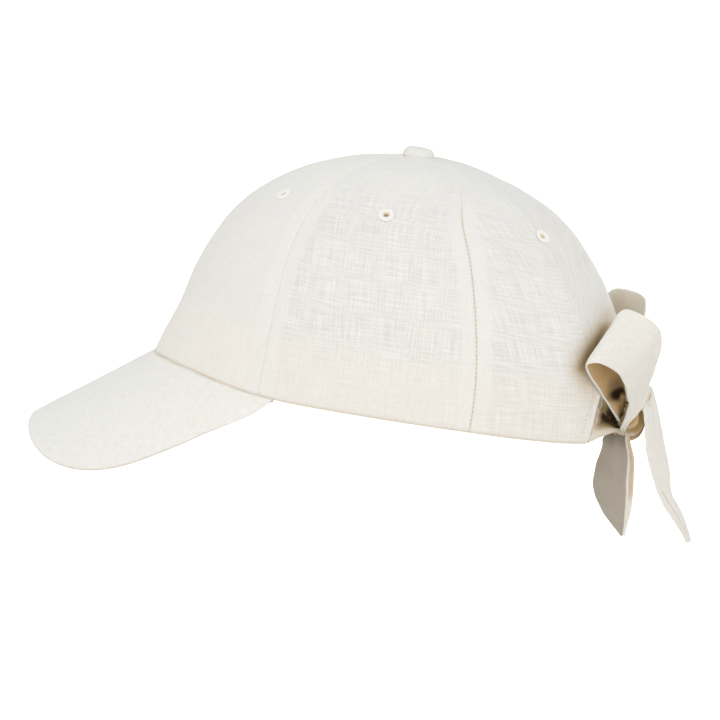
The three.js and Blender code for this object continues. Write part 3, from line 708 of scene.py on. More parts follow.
CROWN_LINEN = linen(
    "crown linen",
    (0.908, 0.894, 0.857),
    (0.866, 0.853, 0.820),
    (0.56, 0.40, 0.19),
    run=0.07,
    folded=True,
)
VISOR_LINEN = linen(
    "visor linen", (0.922, 0.911, 0.866), (0.83, 0.82, 0.77), (0.68, 0.60, 0.42), 0.6, 1.6
)
BOW_LINEN = linen(
    "bow linen",
    (0.920, 0.888, 0.832),
    (0.82, 0.80, 0.76),
    (0.66, 0.45, 0.18),
    pitch=0.65,
    contrast=1.6,
    through=0.40,
    folded=True,
)
BUTTON_LINEN = linen(
    "button linen", (0.885, 0.880, 0.845), (0.85, 0.83, 0.78), (0.86, 0.68, 0.50), 0.6, 1.2
)
BAND_TAPE = linen(
    "band tape", (0.80, 0.73, 0.63), (0.80, 0.73, 0.63), (0.55, 0.42, 0.28), 0.5, 1.2
)
EYELET_THREAD = yarn("eyelet thread", (0.965, 0.96, 0.925), (0.93, 0.915, 0.865))
SEAM_THREAD = yarn("seam thread", (0.66, 0.54, 0.40), (0.52, 0.40, 0.27))
PALE_THREAD = yarn("pale thread", (0.90, 0.87, 0.80), (0.78, 0.72, 0.62))


# Crown

def arc_lengths(points, axis):
    steps = np.linalg.norm(np.diff(points, axis=axis), axis=-1)
    start = np.zeros_like(np.take(steps, [0], axis=axis))
    return np.concatenate([start, np.cumsum(steps, axis=axis)], axis=axis)


# Grid of a panel: rows from its hem to the button, and columns that stand closer at the seams
PANEL_ROWS = 112
COLUMNS = {"width": 80.0, "first": 0.25, "growth": 1.12, "widest": 1.15}
ARCH_COLUMN_SHARE = 0.72


def column_shares():
    half = [0.0]
    step = COLUMNS["first"]
    while half[-1] < COLUMNS["width"] / 2 - step:
        half.append(half[-1] + step)
        step = min(step * COLUMNS["growth"], COLUMNS["widest"])
    half = np.array(half) / (half[-1] + step / 2) / 2
    return np.concatenate([half, 1 - half[::-1]])


# Where a loop of the bow lies close beside the rear panel and its shadow is painted, seen from the side: y,
# z and how close
LOOP_SHADOW = [
    (100.2, 35.0, 0.40),
    (99.4, 31.0, 0.95),
    (96.6, 26.5, 1.00),
    (93.4, 21.0, 1.00),
    (91.6, 17.0, 0.95),
    (93.8, 11.5, 0.60),
    (96.0, 6.0, 0.25),
]
LOOP_SHADOW_REACH = 4.4


def beside_loop(points):
    """How much painted shadow the loop beside it puts on the cloth at each point of a grid."""
    most = np.zeros(points.shape[:2])
    for (y1, z1, near1), (y2, z2, near2) in zip(LOOP_SHADOW, LOOP_SHADOW[1:]):
        run = np.array([y2 - y1, z2 - z1])
        away = points[..., 1:] - np.array([y1, z1])
        share = np.clip(away @ run / (run @ run), 0, 1)
        distance = np.linalg.norm(away - share[..., None] * run, axis=-1)
        most = np.maximum(most, (near1 + (near2 - near1) * share) * bell(distance, 0, LOOP_SHADOW_REACH))
    return most


def eyelet_place(panel):
    """Turn and rise of a panel's eyelet, and the mm that a degree of each is there."""
    turn, rise = PANELS[panel]["eyelet"]
    per_rise = float(crown_radius(turn, rise)) * math.pi / 180
    return turn, rise, per_rise * math.cos(math.radians(rise)), per_rise


def panel_grid(panel):
    """Turn and rise of a panel's points, the turn of its bottom edge, and the cell left open."""
    from_seam, to_seam = PANELS[panel]["seams"]
    hem_start, hem_end = seam_turn(from_seam, 0.0), seam_turn(to_seam, 0.0)
    shares = column_shares()
    up = np.linspace(0, 1, PANEL_ROWS)[:, None]
    bottom = hem_start + (hem_end - hem_start) * shares
    if panel == "rear":
        corner = (ARCH_CORNER_TURN - hem_start) / (hem_end - hem_start) * ARCH_COLUMN_SHARE
        swing = np.clip((shares - corner) / (1 - corner), 0, 1) * math.pi / 2
        along_hem = hem_start + (ARCH_CORNER_TURN - hem_start) * np.clip(shares / corner, 0, 1)
        bottom = np.where(swing > 0, 180 - (180 - ARCH_CORNER_TURN) * np.cos(swing), along_hem)
    low = rise_at(bottom, arch_height(bottom) if panel == "rear" else 0.0)
    top = np.degrees(np.arccos(CROWN_HOLE_RADIUS / crown_radius(bottom, 90.0)))
    rise = low + (top - low) * up
    low_start = seam_turn(from_seam, low)
    low_share = np.clip((bottom - low_start) / (seam_turn(to_seam, low) - low_start), 0, 1)
    start, end = seam_turn(from_seam, rise), seam_turn(to_seam, rise)
    turn = start + (end - start) * (low_share + (shares - low_share) * up)

    # The grid is drawn round the eyelet's hole
    eyelet_turn, eyelet_rise, per_turn, per_rise = eyelet_place(panel)
    aside = (turn - eyelet_turn) * per_turn
    above = (rise - eyelet_rise) * per_rise
    cell_aside = (aside[:-1, :-1] + aside[1:, 1:]) / 2
    cell_above = (above[:-1, :-1] + above[1:, 1:]) / 2
    hole = np.unravel_index(np.argmin(cell_aside**2 + cell_above**2), cell_aside.shape)
    pull = bell(np.hypot(aside, above), 0, EYELET["pull"])
    aside = aside - cell_aside[hole] * pull
    above = above - cell_above[hole] * pull
    distance = np.hypot(aside, above)
    cut, reach = EYELET["cut"], EYELET["reach"]
    widened = np.sqrt(distance**2 * (1 - (cut / reach) ** 2) + cut**2)
    spread = np.where(distance < reach, widened / np.maximum(distance, 1e-6), 1.0)
    return eyelet_turn + aside * spread / per_turn, eyelet_rise + above * spread / per_rise, bottom, hole


def panel_places(panel, side, turn, rise, bottom):
    """What each point of a panel is near to: mm along its cloth, from its seams and its eyelet,
    and shares that say where the cloth is doubled, low down, at the front seam or in the arch."""
    face = crown_point(side * turn, rise)
    v = arc_lengths(face, 0)
    u = arc_lengths(face, 1)
    start, end = [seam_turn(seam, rise) for seam in PANELS[panel]["seams"]]
    level = crown_radius(side * turn, rise) * np.cos(np.radians(rise))
    to_start = level * np.radians(np.clip(turn - start, 0, None))
    to_end = level * np.radians(np.clip(end - turn, 0, None))
    seam = np.minimum(to_start, to_end)
    eyelet_turn, eyelet_rise, per_turn, per_rise = eyelet_place(panel)
    in_arch = 0 * v
    if panel == "rear":
        beside_hem = smoothstep(np.abs(bottom)[None, :] + 0 * v, ARCH_CORNER_TURN - 1, ARCH_CORNER_TURN)
        in_arch = (1 - smoothstep(v, 7.0, 7.9)) * beside_hem
    return SimpleNamespace(
        face=face,
        u=u - u[:, u.shape[1] // 2][:, None],
        v=v,
        seam=seam,
        eyelet=np.hypot((turn - eyelet_turn) * per_turn, (rise - eyelet_rise) * per_rise),
        doubled=1 - smoothstep(seam, SEAM_ALLOWANCE - 1.2, SEAM_ALLOWANCE + 0.8),
        low_down=1 - smoothstep(rise, 55, 66),
        front_seam=np.where(to_start < to_end, panel == "side", panel == "front"),
        in_arch=in_arch,
    )


# Low relief of a panel, and how far from a seam, the hem or the eyelet it reaches
RELIEF = {"allowance": 0.10, "pucker": 0.14, "arch_hem": 0.25, "hem": 0.35, "eyelet": 0.35}
PUCKER = {"length": 7.0, "wander": 2.5, "reach": 4.5, "seam": 1.5}
GROOVE = {"top": 0.06, "low_down": 0.29, "reach": 0.7, "less_in_front": 0.6}
HEM_REACH = 0.8
EYELET_SEAT = 3.6
HEM_FOLD = {"drop": 0.35, "belly": 0.35}

# Painted shade of a panel: at its seams, its hem and beside the loop, and on its inner face
TONE = {"seam": 0.20, "hem": 0.34, "loop": 0.92, "loop_deep": 0.55, "inner": 0.35, "inner_deep": 0.12}
BAND_FADE = (20.0, 31.0)
TOP_OPAQUE = {"more": 0.5, "rise": (54, 68)}


def panel_relief(at, seed):
    wave = 2 * math.pi * at.v / PUCKER["length"] + PUCKER["wander"] * ripple(at.v, at.u * 0, 40, seed)
    pucker = np.sin(wave) * bell(at.seam, 0, PUCKER["reach"]) * (1 - bell(at.seam, 0, PUCKER["seam"]))
    groove = GROOVE["top"] + GROOVE["low_down"] * at.low_down
    groove = groove * (1 - GROOVE["less_in_front"] * at.front_seam) * bell(at.seam, 0, GROOVE["reach"])
    relief = RELIEF["allowance"] * at.doubled - groove + RELIEF["pucker"] * pucker
    relief = relief + 0.22 * ripple(at.u, at.v, 26, seed) * smoothstep(at.seam, 0, 10)
    relief = relief + 0.07 * ripple(at.u, at.v, 9, seed + 1) * smoothstep(at.seam, 0, 8)
    relief = relief - RELIEF["eyelet"] * np.exp(-((at.eyelet / EYELET_SEAT) ** 4))
    relief = relief + RELIEF["arch_hem"] * at.in_arch * smoothstep(at.seam, 0, 1)
    return relief - RELIEF["hem"] * bell(at.v, 0, HEM_REACH)


def panel_tone(panel, at, seed, turn, rise):
    """The attributes layers, band, and the painted shade and deep of a panel's outer face."""
    alone, over_band, over_allowance = OPAQUE[panel]
    above_hem = at.face[..., 2] - table_at(HEM, "turn", "height", turn)
    band = 1 - smoothstep(above_hem + 1.5 * ripple(at.u, at.v, 30, seed), *BAND_FADE)
    band = band * (1 - 0.5 * at.doubled)
    layers = alone + over_band * band + over_allowance * at.doubled * at.low_down
    layers = layers + 0.8 * at.in_arch + TOP_OPAQUE["more"] * smoothstep(rise, *TOP_OPAQUE["rise"])
    shade = TONE["seam"] * (1 - 0.9 * at.front_seam) * at.low_down * bell(at.seam, 0, 0.5)
    shade = np.clip(shade + TONE["hem"] * bell(at.v, 0, HEM_REACH), 0, 0.8)
    near_loop = beside_loop(worn(at.face)) if panel == "rear" else 0 * at.v
    shade = np.clip(shade + TONE["loop"] * near_loop, 0, 0.95)
    return np.clip(layers, 0, 1), band, shade, TONE["loop_deep"] * near_loop**5


def make_panel(panel, name):
    side = SIDES[name]
    seed = PANELS[panel]["seed"] + (20 if name == "right" else 0)
    turn, rise, bottom, hole = panel_grid(panel)
    at = panel_places(panel, side, turn, rise, bottom)
    relief = panel_relief(at, seed)
    thick = PANEL_CLOTH + ALLOWANCE_CLOTH * at.doubled
    outer = worn(crown_point(side * turn, rise, relief))
    inner = worn(crown_point(side * turn, rise, relief * 0.4 - thick))

    # One more row rounds the fold of the hem
    drop = HEM_FOLD["drop"] * unit(inner[0] - inner[1])
    fold = (outer[0] + inner[0]) / 2 + drop
    round_fold = [(face[0] + fold) / 2 + drop * HEM_FOLD["belly"] for face in (outer, inner)]
    outer, inner = [np.concatenate([row[None], face]) for row, face in zip(round_fold, (outer, inner))]
    grids = [at.u, at.v, *panel_tone(panel, at, seed, turn, rise)]
    u, v, layers, band, shade, deep = [np.concatenate([grid[:1], grid]) for grid in grids]
    attributes = {
        "layers": layers,
        "band": (band, 0.0),
        "shade": (shade, TONE["inner"]),
        "deep": (deep, TONE["inner_deep"]),
    }
    hole = (int(hole[0]) + 1, int(hole[1]))
    weave = np.stack([u, v], axis=-1)
    piece = shell(f"panel_{panel}_{name}_cloth", outer, inner, weave, attributes, hole)
    finish_piece(piece, CROWN_LINEN, "crown_linen", f"crown_panel_{panel}_{name}")


def crown_frame(turn, rise):
    """Point on the worn crown with the way across the cloth, up it and out of it."""
    step = 0.5
    point = worn(crown_point(turn, rise))
    across = worn(crown_point(turn + step, rise)) - worn(crown_point(turn - step, rise))
    up = worn(crown_point(turn, rise + step)) - worn(crown_point(turn, rise - step))
    out, across = unit(np.cross(across, up)), unit(across)
    return point, across, np.cross(out, across), out


def make_eyelet(panel, name):
    turn, rise = PANELS[panel]["eyelet"]
    centre, across, up, out = crown_frame(SIDES[name] * turn, rise)
    ridges = EYELET["ridges"]
    swing = np.linspace(0, 2 * math.pi, 4 * ridges, endpoint=False)[:, None]
    radius, height, ridged, foot, deep = np.array(EYELET_SECTION).T[:, None, :]
    ridge = np.cos(ridges * swing) * ridged
    wander = 0.05 * np.sin(3 * swing + turn) + 0.04 * np.sin(7 * swing + 2 * turn)
    radius = radius + 0.06 * ridge + wander * ridged
    height = height + 0.07 * ridge
    points = turned(centre, radius, height, swing, across, up, out)
    # Painted shade: dark down the hole, and shadow dots along the lower half of the ring's foot
    beneath = np.clip(-1.3 * np.sin(swing) - 0.2, 0, 1) * np.clip(2 * np.cos(13 * swing), 0, 1)
    shade = deep * PANELS[panel]["hole"] + 0.6 * foot * beneath
    piece = ring(f"eyelet_{panel}_{name}_ring", points, (10.0, 60.0), {"shade": shade})
    finish_piece(piece, EYELET_THREAD, "eyelet_thread", f"eyelet_{panel}_{name}")


def stitches(line, start, pitch, length, end, arch, stops=5):
    """Thread paths at even steps along a line, each arched away from the head."""
    run = arc_lengths(line, 0)
    rise = arch * np.sin(np.linspace(0, math.pi, stops))
    paths = []
    at = start
    while at < run[-1] - end:
        places = at + length * np.linspace(0, 1, stops)
        path = np.stack([np.interp(places, run, line[:, k]) for k in range(3)], axis=-1)
        paths.append(path + unit(path) * rise[:, None])
        at += pitch
    return paths


def make_seams():
    """A row of stitches up each seam: brown ones behind and pale ones in front."""
    rows = {"rear": [], "front": []}
    for seam, side in SEAM_LINES:
        above = SEAM_STITCH["above_hem"] + (ARCH_HEIGHT if seam == "rearmost" else 0.0)
        low = float(rise_at(side * seam_turn(seam, 0.0), above))
        place = "rear" if seam in ("rear", "rearmost") else "front"
        rises = np.linspace(low, SEAM_STITCH["top_rise"], 400)
        line = worn(crown_point(side * seam_turn(seam, rises), rises, SEAM_STITCH[place]))
        rows[place] += stitches(line, **STITCHES["seam"])
    for place, thread in (("rear", SEAM_THREAD), ("front", PALE_THREAD)):
        piece = threads(f"seam_stitches_{place}", rows[place], SEAM_STITCH["radius"])
        finish_piece(piece, thread, "eyelet_thread")


def make_arch_stitches():
    """One row of stitches round the half-moon, above its edge."""
    swing = np.linspace(-math.pi / 2, math.pi / 2, 600)
    turn = 180 - (180 - ARCH_CORNER_TURN) * np.sin(swing)
    turn = np.where(turn > 180, turn - 360, turn)
    edge = crown_point(turn, rise_at(turn, ARCH_HEIGHT * np.cos(swing) ** (2 / ARCH_POWER)))
    away = np.cross(unit(edge), unit(np.gradient(edge, axis=0)))
    away *= np.sign(away[len(away) // 2, 2])
    line = edge + ARCH_STITCH["above_edge"] * away
    turns = np.degrees(np.arctan2(line[:, 0], -line[:, 1]))
    rises = np.degrees(np.arcsin(line[:, 2] / np.linalg.norm(line, axis=1)))
    above = line[:, 2] > ARCH_STITCH["lowest"]
    line = worn(crown_point(turns, rises, ARCH_STITCH["lift"]))[above]
    paths = stitches(line, **STITCHES["half_moon"])
    piece = threads("half_moon_stitches", paths, ARCH_STITCH["radius"])
    finish_piece(piece, PALE_THREAD, "eyelet_thread")


def make_button():
    """A domed cover, its foot tucked under and gathered all round."""
    swing = np.linspace(0, 2 * math.pi, 96, endpoint=False)[None, :]
    up = np.linspace(-BUTTON["tuck"], 1, 26)[:, None]
    angle = np.clip(up, 0, 1) * math.pi / 2
    tuck = np.clip(-up / BUTTON["tuck"], 0, 1)
    radius = BUTTON["radius"] * np.cos(angle * 0.985) ** 0.42 - 2.2 * tuck**1.5
    height = BUTTON["foot"] + (BUTTON["height"] - BUTTON["foot"]) * np.sin(angle) ** 0.85
    height = height - 0.35 * tuck
    gathers = 0.012 * np.sin(17 * swing + 1.0) + 0.008 * np.sin(29 * swing)
    radius = radius * (1 + gathers * np.clip(1 - up * 2.2, 0, 1) * (1 - tuck))
    radius = radius * (1 + 0.02 * np.cos(2 * swing))
    axis = worn(np.array([0.0, 0.0, 1.0]))
    right = np.array([1.0, 0.0, 0.0])
    behind = np.cross(axis, right)
    top = worn(np.array([0.0, 0.0, float(crown_radius(0.0, 90.0)) - BUTTON["sunk"]]))
    points = turned(top + BUTTON["back"] * behind, radius, height, swing, right, behind, axis)
    # Painted shade round the foot and on its tucked part
    shade = np.clip(1 - np.abs(up) * 6, 0, 1) * 0.30 + tuck * 0.5
    piece = ring("button_cover", points, (40.0, 9.0), {"layers": 1.0, "shade": shade}, caps=True)
    finish_piece(piece, BUTTON_LINEN, "button_linen", "crown_button")


def make_sweatband():
    """A tape inside the rim, open behind, with a row of stitches along both of its edges."""
    end = ARCH_CORNER_TURN - 1.0
    heights, turns = np.linspace(0.3, BAND_HEIGHT, 26), np.linspace(-end, end, 420)
    height, turn = np.meshgrid(heights, turns, indexing="ij")
    rise = rise_at(turn, height)
    run = arc_lengths(crown_point(turn, rise), 1)
    wave = 0.18 * ripple(run, height, 30, 41) + 0.05 * ripple(run, height, 8, 42)
    edge = 0.25 * (bell(height, BAND_HEIGHT - 1.6, 1.2) + bell(height, 1.5, 1.2))
    seat = -PANEL_CLOTH - BAND_CLEARANCE
    outer = worn(crown_point(turn, rise, seat + wave * 0.5))
    inner = worn(crown_point(turn, rise, seat - BAND_CLOTH + wave - edge))
    weave = np.stack([run, height], axis=-1)
    piece = shell("sweatband_tape", outer, inner, weave, {"layers": 1.0, "shade": 0.0})
    finish_piece(piece, BAND_TAPE, "band_tape", "sweatband")
    paths = []
    for above in (BAND_STITCH["from_edge"], BAND_HEIGHT - BAND_STITCH["from_edge"]):
        turns = np.linspace(-end + 1, end - 1, 2400)
        lift = seat - BAND_CLOTH - BAND_STITCH["lift"]
        line = worn(crown_point(turns, rise_at(turns, above), lift))
        paths += stitches(line, **STITCHES["sweatband"])
    piece = threads("sweatband_stitches", paths, BAND_STITCH["radius"], 5)
    finish_piece(piece, PALE_THREAD, "band_tape")


def make_seam_tapes():
    """Tape over each seam inside the crown, from the sweatband's top edge to the button."""
    for number, (seam, side) in enumerate(SEAM_LINES):
        start = ARCH_HEIGHT + TAPE["above_arch"] if seam == "rearmost" else BAND_HEIGHT - TAPE["overlap"]
        low = float(rise_at(side * seam_turn(seam, 0.0), start))
        rises = np.linspace(low, TAPE["top_rise"], 90)[:, None]
        turn = side * seam_turn(seam, rises)
        aside = np.linspace(-TAPE["half"], TAPE["half"], 15)[None, :]
        level = crown_radius(turn, rises) * np.cos(np.radians(rises))
        half = np.minimum(TAPE["half"], level * 0.42)
        turns = turn + np.degrees(aside / TAPE["half"] * half / level)
        run = arc_lengths(crown_point(turn, rises), 0)
        bulge = 0.25 * bell(aside, 0, 1.2) + 0.08 * ripple(run, aside, 9, 60 + number)
        seat = -PANEL_CLOTH - TAPE["lift"]
        outer = worn(crown_point(turns, rises, seat))
        inner = worn(crown_point(turns, rises, seat - TAPE["cloth"] - bulge))
        weave = np.stack([aside + 0 * run, run + 0 * aside], axis=-1)
        piece = shell(f"seam_tape_{number + 1}", outer, inner, weave, {"layers": 1.0})
        finish_piece(piece, CROWN_LINEN, "crown_linen")


# Visor

def visor_sheet(across, forward):
    origin = crown_point(0.0, rise_at(0.0, 0.0))
    radius, droop = VISOR["arch_radius"], VISOR["droop"]
    bend = across / radius
    sag = radius * (1 - np.cos(bend))
    dip = VISOR["dip"] * np.clip(forward / VISOR["tip"], 0, 1) ** 2
    return np.stack([
        radius * np.sin(bend),
        origin[1] - forward * math.cos(droop) + sag * math.sin(droop),
        origin[2] - forward * math.sin(droop) - sag * math.cos(droop) - dip,
    ], axis=-1)


def hem_on_visor(turn):
    turn = np.asarray(turn, float)
    hem = crown_point(turn, rise_at(turn, 0.0))
    origin = crown_point(0.0, rise_at(0.0, 0.0))
    radius, droop = VISOR["arch_radius"], VISOR["droop"]
    across = radius * np.arcsin(np.clip(hem[..., 0] / radius, -1, 1))
    forward = (origin[1] - hem[..., 1]) * math.cos(droop) + (origin[2] - hem[..., 2]) * math.sin(droop)
    return hem, across, forward


def visor_top(swing, share):
    """Point of the visor's upper face: swing along its edge, share from the hem to the edge."""
    power = 2 / VISOR["squareness"]
    _, corner_across, corner_forward = hem_on_visor(VISOR["corner_turn"])
    across_share = np.sign(swing) * np.abs(np.sin(swing)) ** power
    reach = np.abs(np.cos(swing)) ** power
    narrow = between(reach, *VISOR["taper_reach"])
    outer_across = across_share * corner_across * (1 - VISOR["taper"] * narrow)
    outer_forward = corner_forward + (VISOR["tip"] - corner_forward) * reach
    turn = VISOR["corner_turn"] * np.arcsin(np.clip(across_share, -1, 1)) / (math.pi / 2)
    hem, root_across, root_forward = hem_on_visor(turn)
    at_end = np.clip(1 - (outer_forward - corner_forward) / VISOR["tuck"], 0, 1) ** 3
    lift = (hem - visor_sheet(root_across, root_forward)) * (1 - share * (1 - at_end))[..., None]
    across = root_across + (outer_across - root_across) * share
    forward = root_forward + (outer_forward - root_forward) * share
    point = visor_sheet(across, forward) + lift
    from_end = np.clip((outer_forward - corner_forward) / VISOR["end_length"], 0, 1)
    thick = VISOR["end_thickness"] + (VISOR["thickness"] - VISOR["end_thickness"]) * from_end
    return point, turn, thick, across, forward


def make_visor():
    """Board and cover in one. The rows stand closer together towards the edge, and the columns
    stop just short of the corners, where the visor has no width."""
    columns, rows = 240, 60
    widest_swing, crowding = 0.9995 * math.pi / 2, 1.35
    swing = np.linspace(-widest_swing, widest_swing, columns)[None, :]
    share = (1 - (1 - np.linspace(0, 1, rows)) ** crowding)[:, None]
    swing, share = np.broadcast_arrays(swing, share)
    point, turn, thick, across, forward = visor_top(swing, share)
    ahead = np.gradient(point, axis=0)
    aside = np.gradient(point, axis=1)
    normal = unit(np.cross(aside, ahead))
    normal[normal[..., 2] < 0] *= -1
    down = np.array([0.0, 0.0, -1.0])
    bend = smoothstep(share, 0, VISOR["root_share"])[..., None]
    under = unit(down * (1 - bend) - normal * bend)
    uneven = 0.10 * ripple(across, forward, 22, 81) + 0.03 * ripple(across, forward, 7, 82)
    point = point - under * (uneven * smoothstep(1 - share, 0, 0.08))[..., None]
    point[..., 2] -= SEAT_GAP * 0.5

    outward = unit(point[-1] - point[-4])
    below = under[-1]
    edge_thick = thick[-1][:, None]
    lip = len(VISOR_LIP)
    edge_rows = [point[-1] + outward * out + below * edge_thick * deep for out, deep, _ in VISOR_LIP]
    lower = (point + under * thick[..., None])[::-1]
    tucked = worn_inward(turn[0])
    first = point[:1] + tucked
    final = lower[-1:] + tucked
    upper_rows = np.concatenate([first, point, np.array(edge_rows), lower, final])
    total = len(upper_rows)
    v = np.concatenate([forward[:1], forward, forward[-1:] + np.arange(1, lip + 1)[:, None] * 0.3,
                        2 * forward[-1:] - forward[::-1] + 3, 2 * forward[-1:] - forward[:1] + 3])
    u = np.concatenate([across[:1], across, np.repeat(across[-1:], lip, 0), across[::-1], across[:1]])
    # Painted shade over the lip's seam, along the root by the hem, and on the row tucked under it
    shade = np.zeros((total, columns))
    shade[rows + 1:rows + 1 + lip] = np.array(VISOR_LIP)[:, 2:]
    from_hem = np.linalg.norm(point - point[:1], axis=-1)
    shade[1:rows + 1] = VISOR["root_shade"] * bell(from_hem, 0, VISOR["root_reach"])
    shade[0] = 0.8
    points = worn(upper_rows)
    faces = []
    for r in range(total):
        here, above = r * columns, (r + 1) % total * columns
        for c in range(columns - 1):
            faces.append((here + c, here + c + 1, above + c + 1, above + c))
    for c in (0, columns - 1):
        faces.append(tuple(r * columns + c for r in range(total)))
    flat = np.stack([u, v], axis=-1).reshape(-1, 2)
    corners = flat[np.concatenate([np.array(f) for f in faces])]
    attributes = {"layers": np.ones(total * columns), "shade": shade}
    piece = new_object("visor_cover", points.reshape(-1, 3), faces, corners, attributes)
    finish_piece(piece, VISOR_LINEN, "visor_linen", "visor")


def worn_inward(turn):
    """Step from the hem's outer face to its inner one, in the cap's own frame."""
    rise = rise_at(turn, 0.0)
    return crown_point(turn, rise, -PANEL_CLOTH) - crown_point(turn, rise)


# Bow

def spline(points, at):
    """Catmull-Rom curve through the points, at shares of the way along them."""
    points = np.asarray(points, float)
    padded = np.concatenate([[2 * points[0] - points[1]], points, [2 * points[-1] - points[-2]]])
    place = np.clip(at, 0, 1) * (len(points) - 1)
    i = np.minimum(place.astype(int), len(points) - 2)
    t = (place - i)[:, None]
    a, b, c, d = padded[i], padded[i + 1], padded[i + 2], padded[i + 3]
    return b + 0.5 * t * (c - a + t * (2 * a - 5 * b + 4 * c - d + t * (3 * (b - c) + d - a)))


def ribbon(name, node, rows, seed, along_count, gather, cup, paint):
    """A doubled ribbon between two long edges. gather says how deep its pleats are at each end.
    paint takes the shares along and across the ribbon and the mm from its edge, and gives shade
    and deep, each as a pair for the two faces."""
    table = np.asarray(rows, float)
    along = np.linspace(0, 1, along_count)
    edge_a, edge_b = spline(table[:, :3], along), spline(table[:, 3:], along)
    spread = np.linspace(-1, 1, RIBBON["columns"])
    across = (0.75 * np.sin(spread * math.pi / 2) + 0.25 * spread + 1) / 2
    middle = edge_a[:, None] * (1 - across)[None, :, None] + edge_b[:, None] * across[None, :, None]
    aside = (edge_b - edge_a)[:, None] + 0 * middle
    normal = unit(np.cross(np.gradient(middle, axis=0), aside))
    centred = 2 * across[None, :] - 1
    v = arc_lengths(middle, 0)
    width = np.linalg.norm(edge_b - edge_a, axis=1)[:, None]
    u = centred * width / 2
    cloth_u = centred * RIBBON["half"]
    total = v[-1, RIBBON["columns"] // 2]
    ends = [np.exp(-((away / RIBBON["gathered"]) ** 1.5)) for away in (v, np.clip(total - v, 0, None))]
    gathered = gather[0] * ends[0] + gather[1] * ends[1]
    pleats = np.sin(math.pi * (2.6 * centred + 0.35 * ripple(v, u, 25, seed)) + seed)
    in_middle = np.clip(np.minimum(v, total - v) / (0.2 * total), 0, 1)
    waves = 0.30 * ripple(cloth_u, v, 17, seed + 1) + 0.10 * ripple(cloth_u, v, 6, seed + 2)
    swell = RIBBON["pleat"] * pleats * gathered * (1 - centred**6)
    swell = swell + (cup * (1 - centred**2) + waves) * in_middle
    half = RIBBON_CLOTH / 2 * (0.12 + 0.88 * (1 - np.abs(centred) ** 9) ** 0.5)
    upper, lower = [middle + normal * (swell + way * half)[..., None] for way in (1, -1)]
    # Painted shade in the troughs of the gathers' pleats
    crease = 0.10 * gathered * (0.5 - 0.5 * pleats)
    shade, deep = paint(v / v[-1:], centred, (1 - np.abs(centred)) * width / 2)
    attributes = {
        "layers": 1.0,
        "shade": tuple(np.clip(face + crease, 0, 1) for face in shade),
        "deep": tuple(np.clip(face + 0.5 * crease, 0, 1) for face in deep),
    }
    piece = shell(name, upper, lower, np.stack([cloth_u + 0 * v, v], axis=-1), attributes)
    finish_piece(piece, BOW_LINEN, "bow_linen", node)
    return piece


# What each ribbon's two faces show: painted tan shade where cloth faces cloth, and painted dark down in the
# folds. The hollow inside the near loop, painted as the photo shows it. Its place is in mm along and across
# the ribbon, and one of those mm is so many of the photo's pixels right and down.
HOLLOW = {"across": 1.9, "along": 25.1, "length": 129.0}
PIXELS_ACROSS = (0.43, -1.06)
PIXELS_ALONG = (-0.38, -1.39)

# Painted dark spots of that hollow, and a painted lit one: strength, place and half size in those pixels
HOLLOW_SPOTS = [
    (0.99, 0.6, -0.4, 8.2, 7.6),
    (0.93, 5.0, -3.6, 8.0, 5.2),
    (0.48, 2.0, -6.0, 10.0, 11.0),
]
LIT_SPOT = (0.7, 8.0, 3.6, 4.2, 4.6)


def paint_left_loop(share, across, from_edge):
    """Inside, painted tan shade, painted dark in a hollow beside the knot and where it leaves the knot, and
    the double line of a sewn edge.
    """
    aside = RIBBON["half"] * across + HOLLOW["across"]
    along = HOLLOW["length"] * share - HOLLOW["along"]
    x, y = [a * aside + b * along for a, b in zip(PIXELS_ACROSS, PIXELS_ALONG)]

    def spot(strength, right, down, wide, high):
        away = ((x - right) / wide) ** 2 + ((y - down) / high) ** 2
        return strength * np.exp(-(away**2))

    hollow = np.max([spot(*row) for row in HOLLOW_SPOTS], axis=0)
    hollow = hollow - spot(*LIT_SPOT) * hollow
    throat = 0.95 * (1 - smoothstep(share, 0.065, 0.155))
    inner = smoothstep(from_edge, 0.85, 1.15)
    sewn = 0.5 * bell(from_edge, 0.85, 0.20) + 0.3 * bell(from_edge, 0.0, 0.12)
    deep = np.clip(np.maximum(hollow, throat) * inner + 0.06 * inner + sewn, 0, 1)
    return (0.0, 0.95 * inner + 0.5 * sewn), (0.0, deep)


def paint_right_loop(share, across, from_edge):
    """A little painted tan shade inside, more of it on the way back to the knot."""
    back = smoothstep(share, 0.52, 0.64)
    inner = smoothstep(from_edge, 0.3, 0.9)
    return ((0.02 + 0.04 * back + 0.08 * (1 - across)) * inner, 0.0), (0.0, 0.0)


def paint_inner_tail(share, across, from_edge):
    """Painted shade over its face, most of all near the knot, with a strip of painted tan shade down one
    edge.
    """
    face = 1 - smoothstep(across, 0.73, 0.77)
    strip = smoothstep(across, 0.84, 0.88) * (1 - smoothstep(share, 0.58, 0.72))
    near_knot = 1 - smoothstep(share, 0.10, 0.28)
    deep = (0.42 + 0.25 * near_knot) * face + 0.12 * strip
    return (0.20 * face + 0.50 * strip, 0.05), (deep, 0.1)


def paint_outer_tail(share, across, from_edge):
    """Painted shade along the line of its folded edge low down, and in two creases where it bends over the
    knot.
    """
    line = -0.70 + 0.24 * smoothstep(share, 0.57, 0.72)
    folded_edge = bell(across, line, 0.05) * between(share, (0.575, 0.6), (0.93, 0.98))
    creases = bell(share, 0.120, 0.006) + bell(share, 0.142, 0.006)
    creases = creases * between(across, (-0.5, -0.2), (0.3, 0.7))
    return (0.7 * folded_edge + 0.8 * creases, 0.25), (0.0, 0.1)


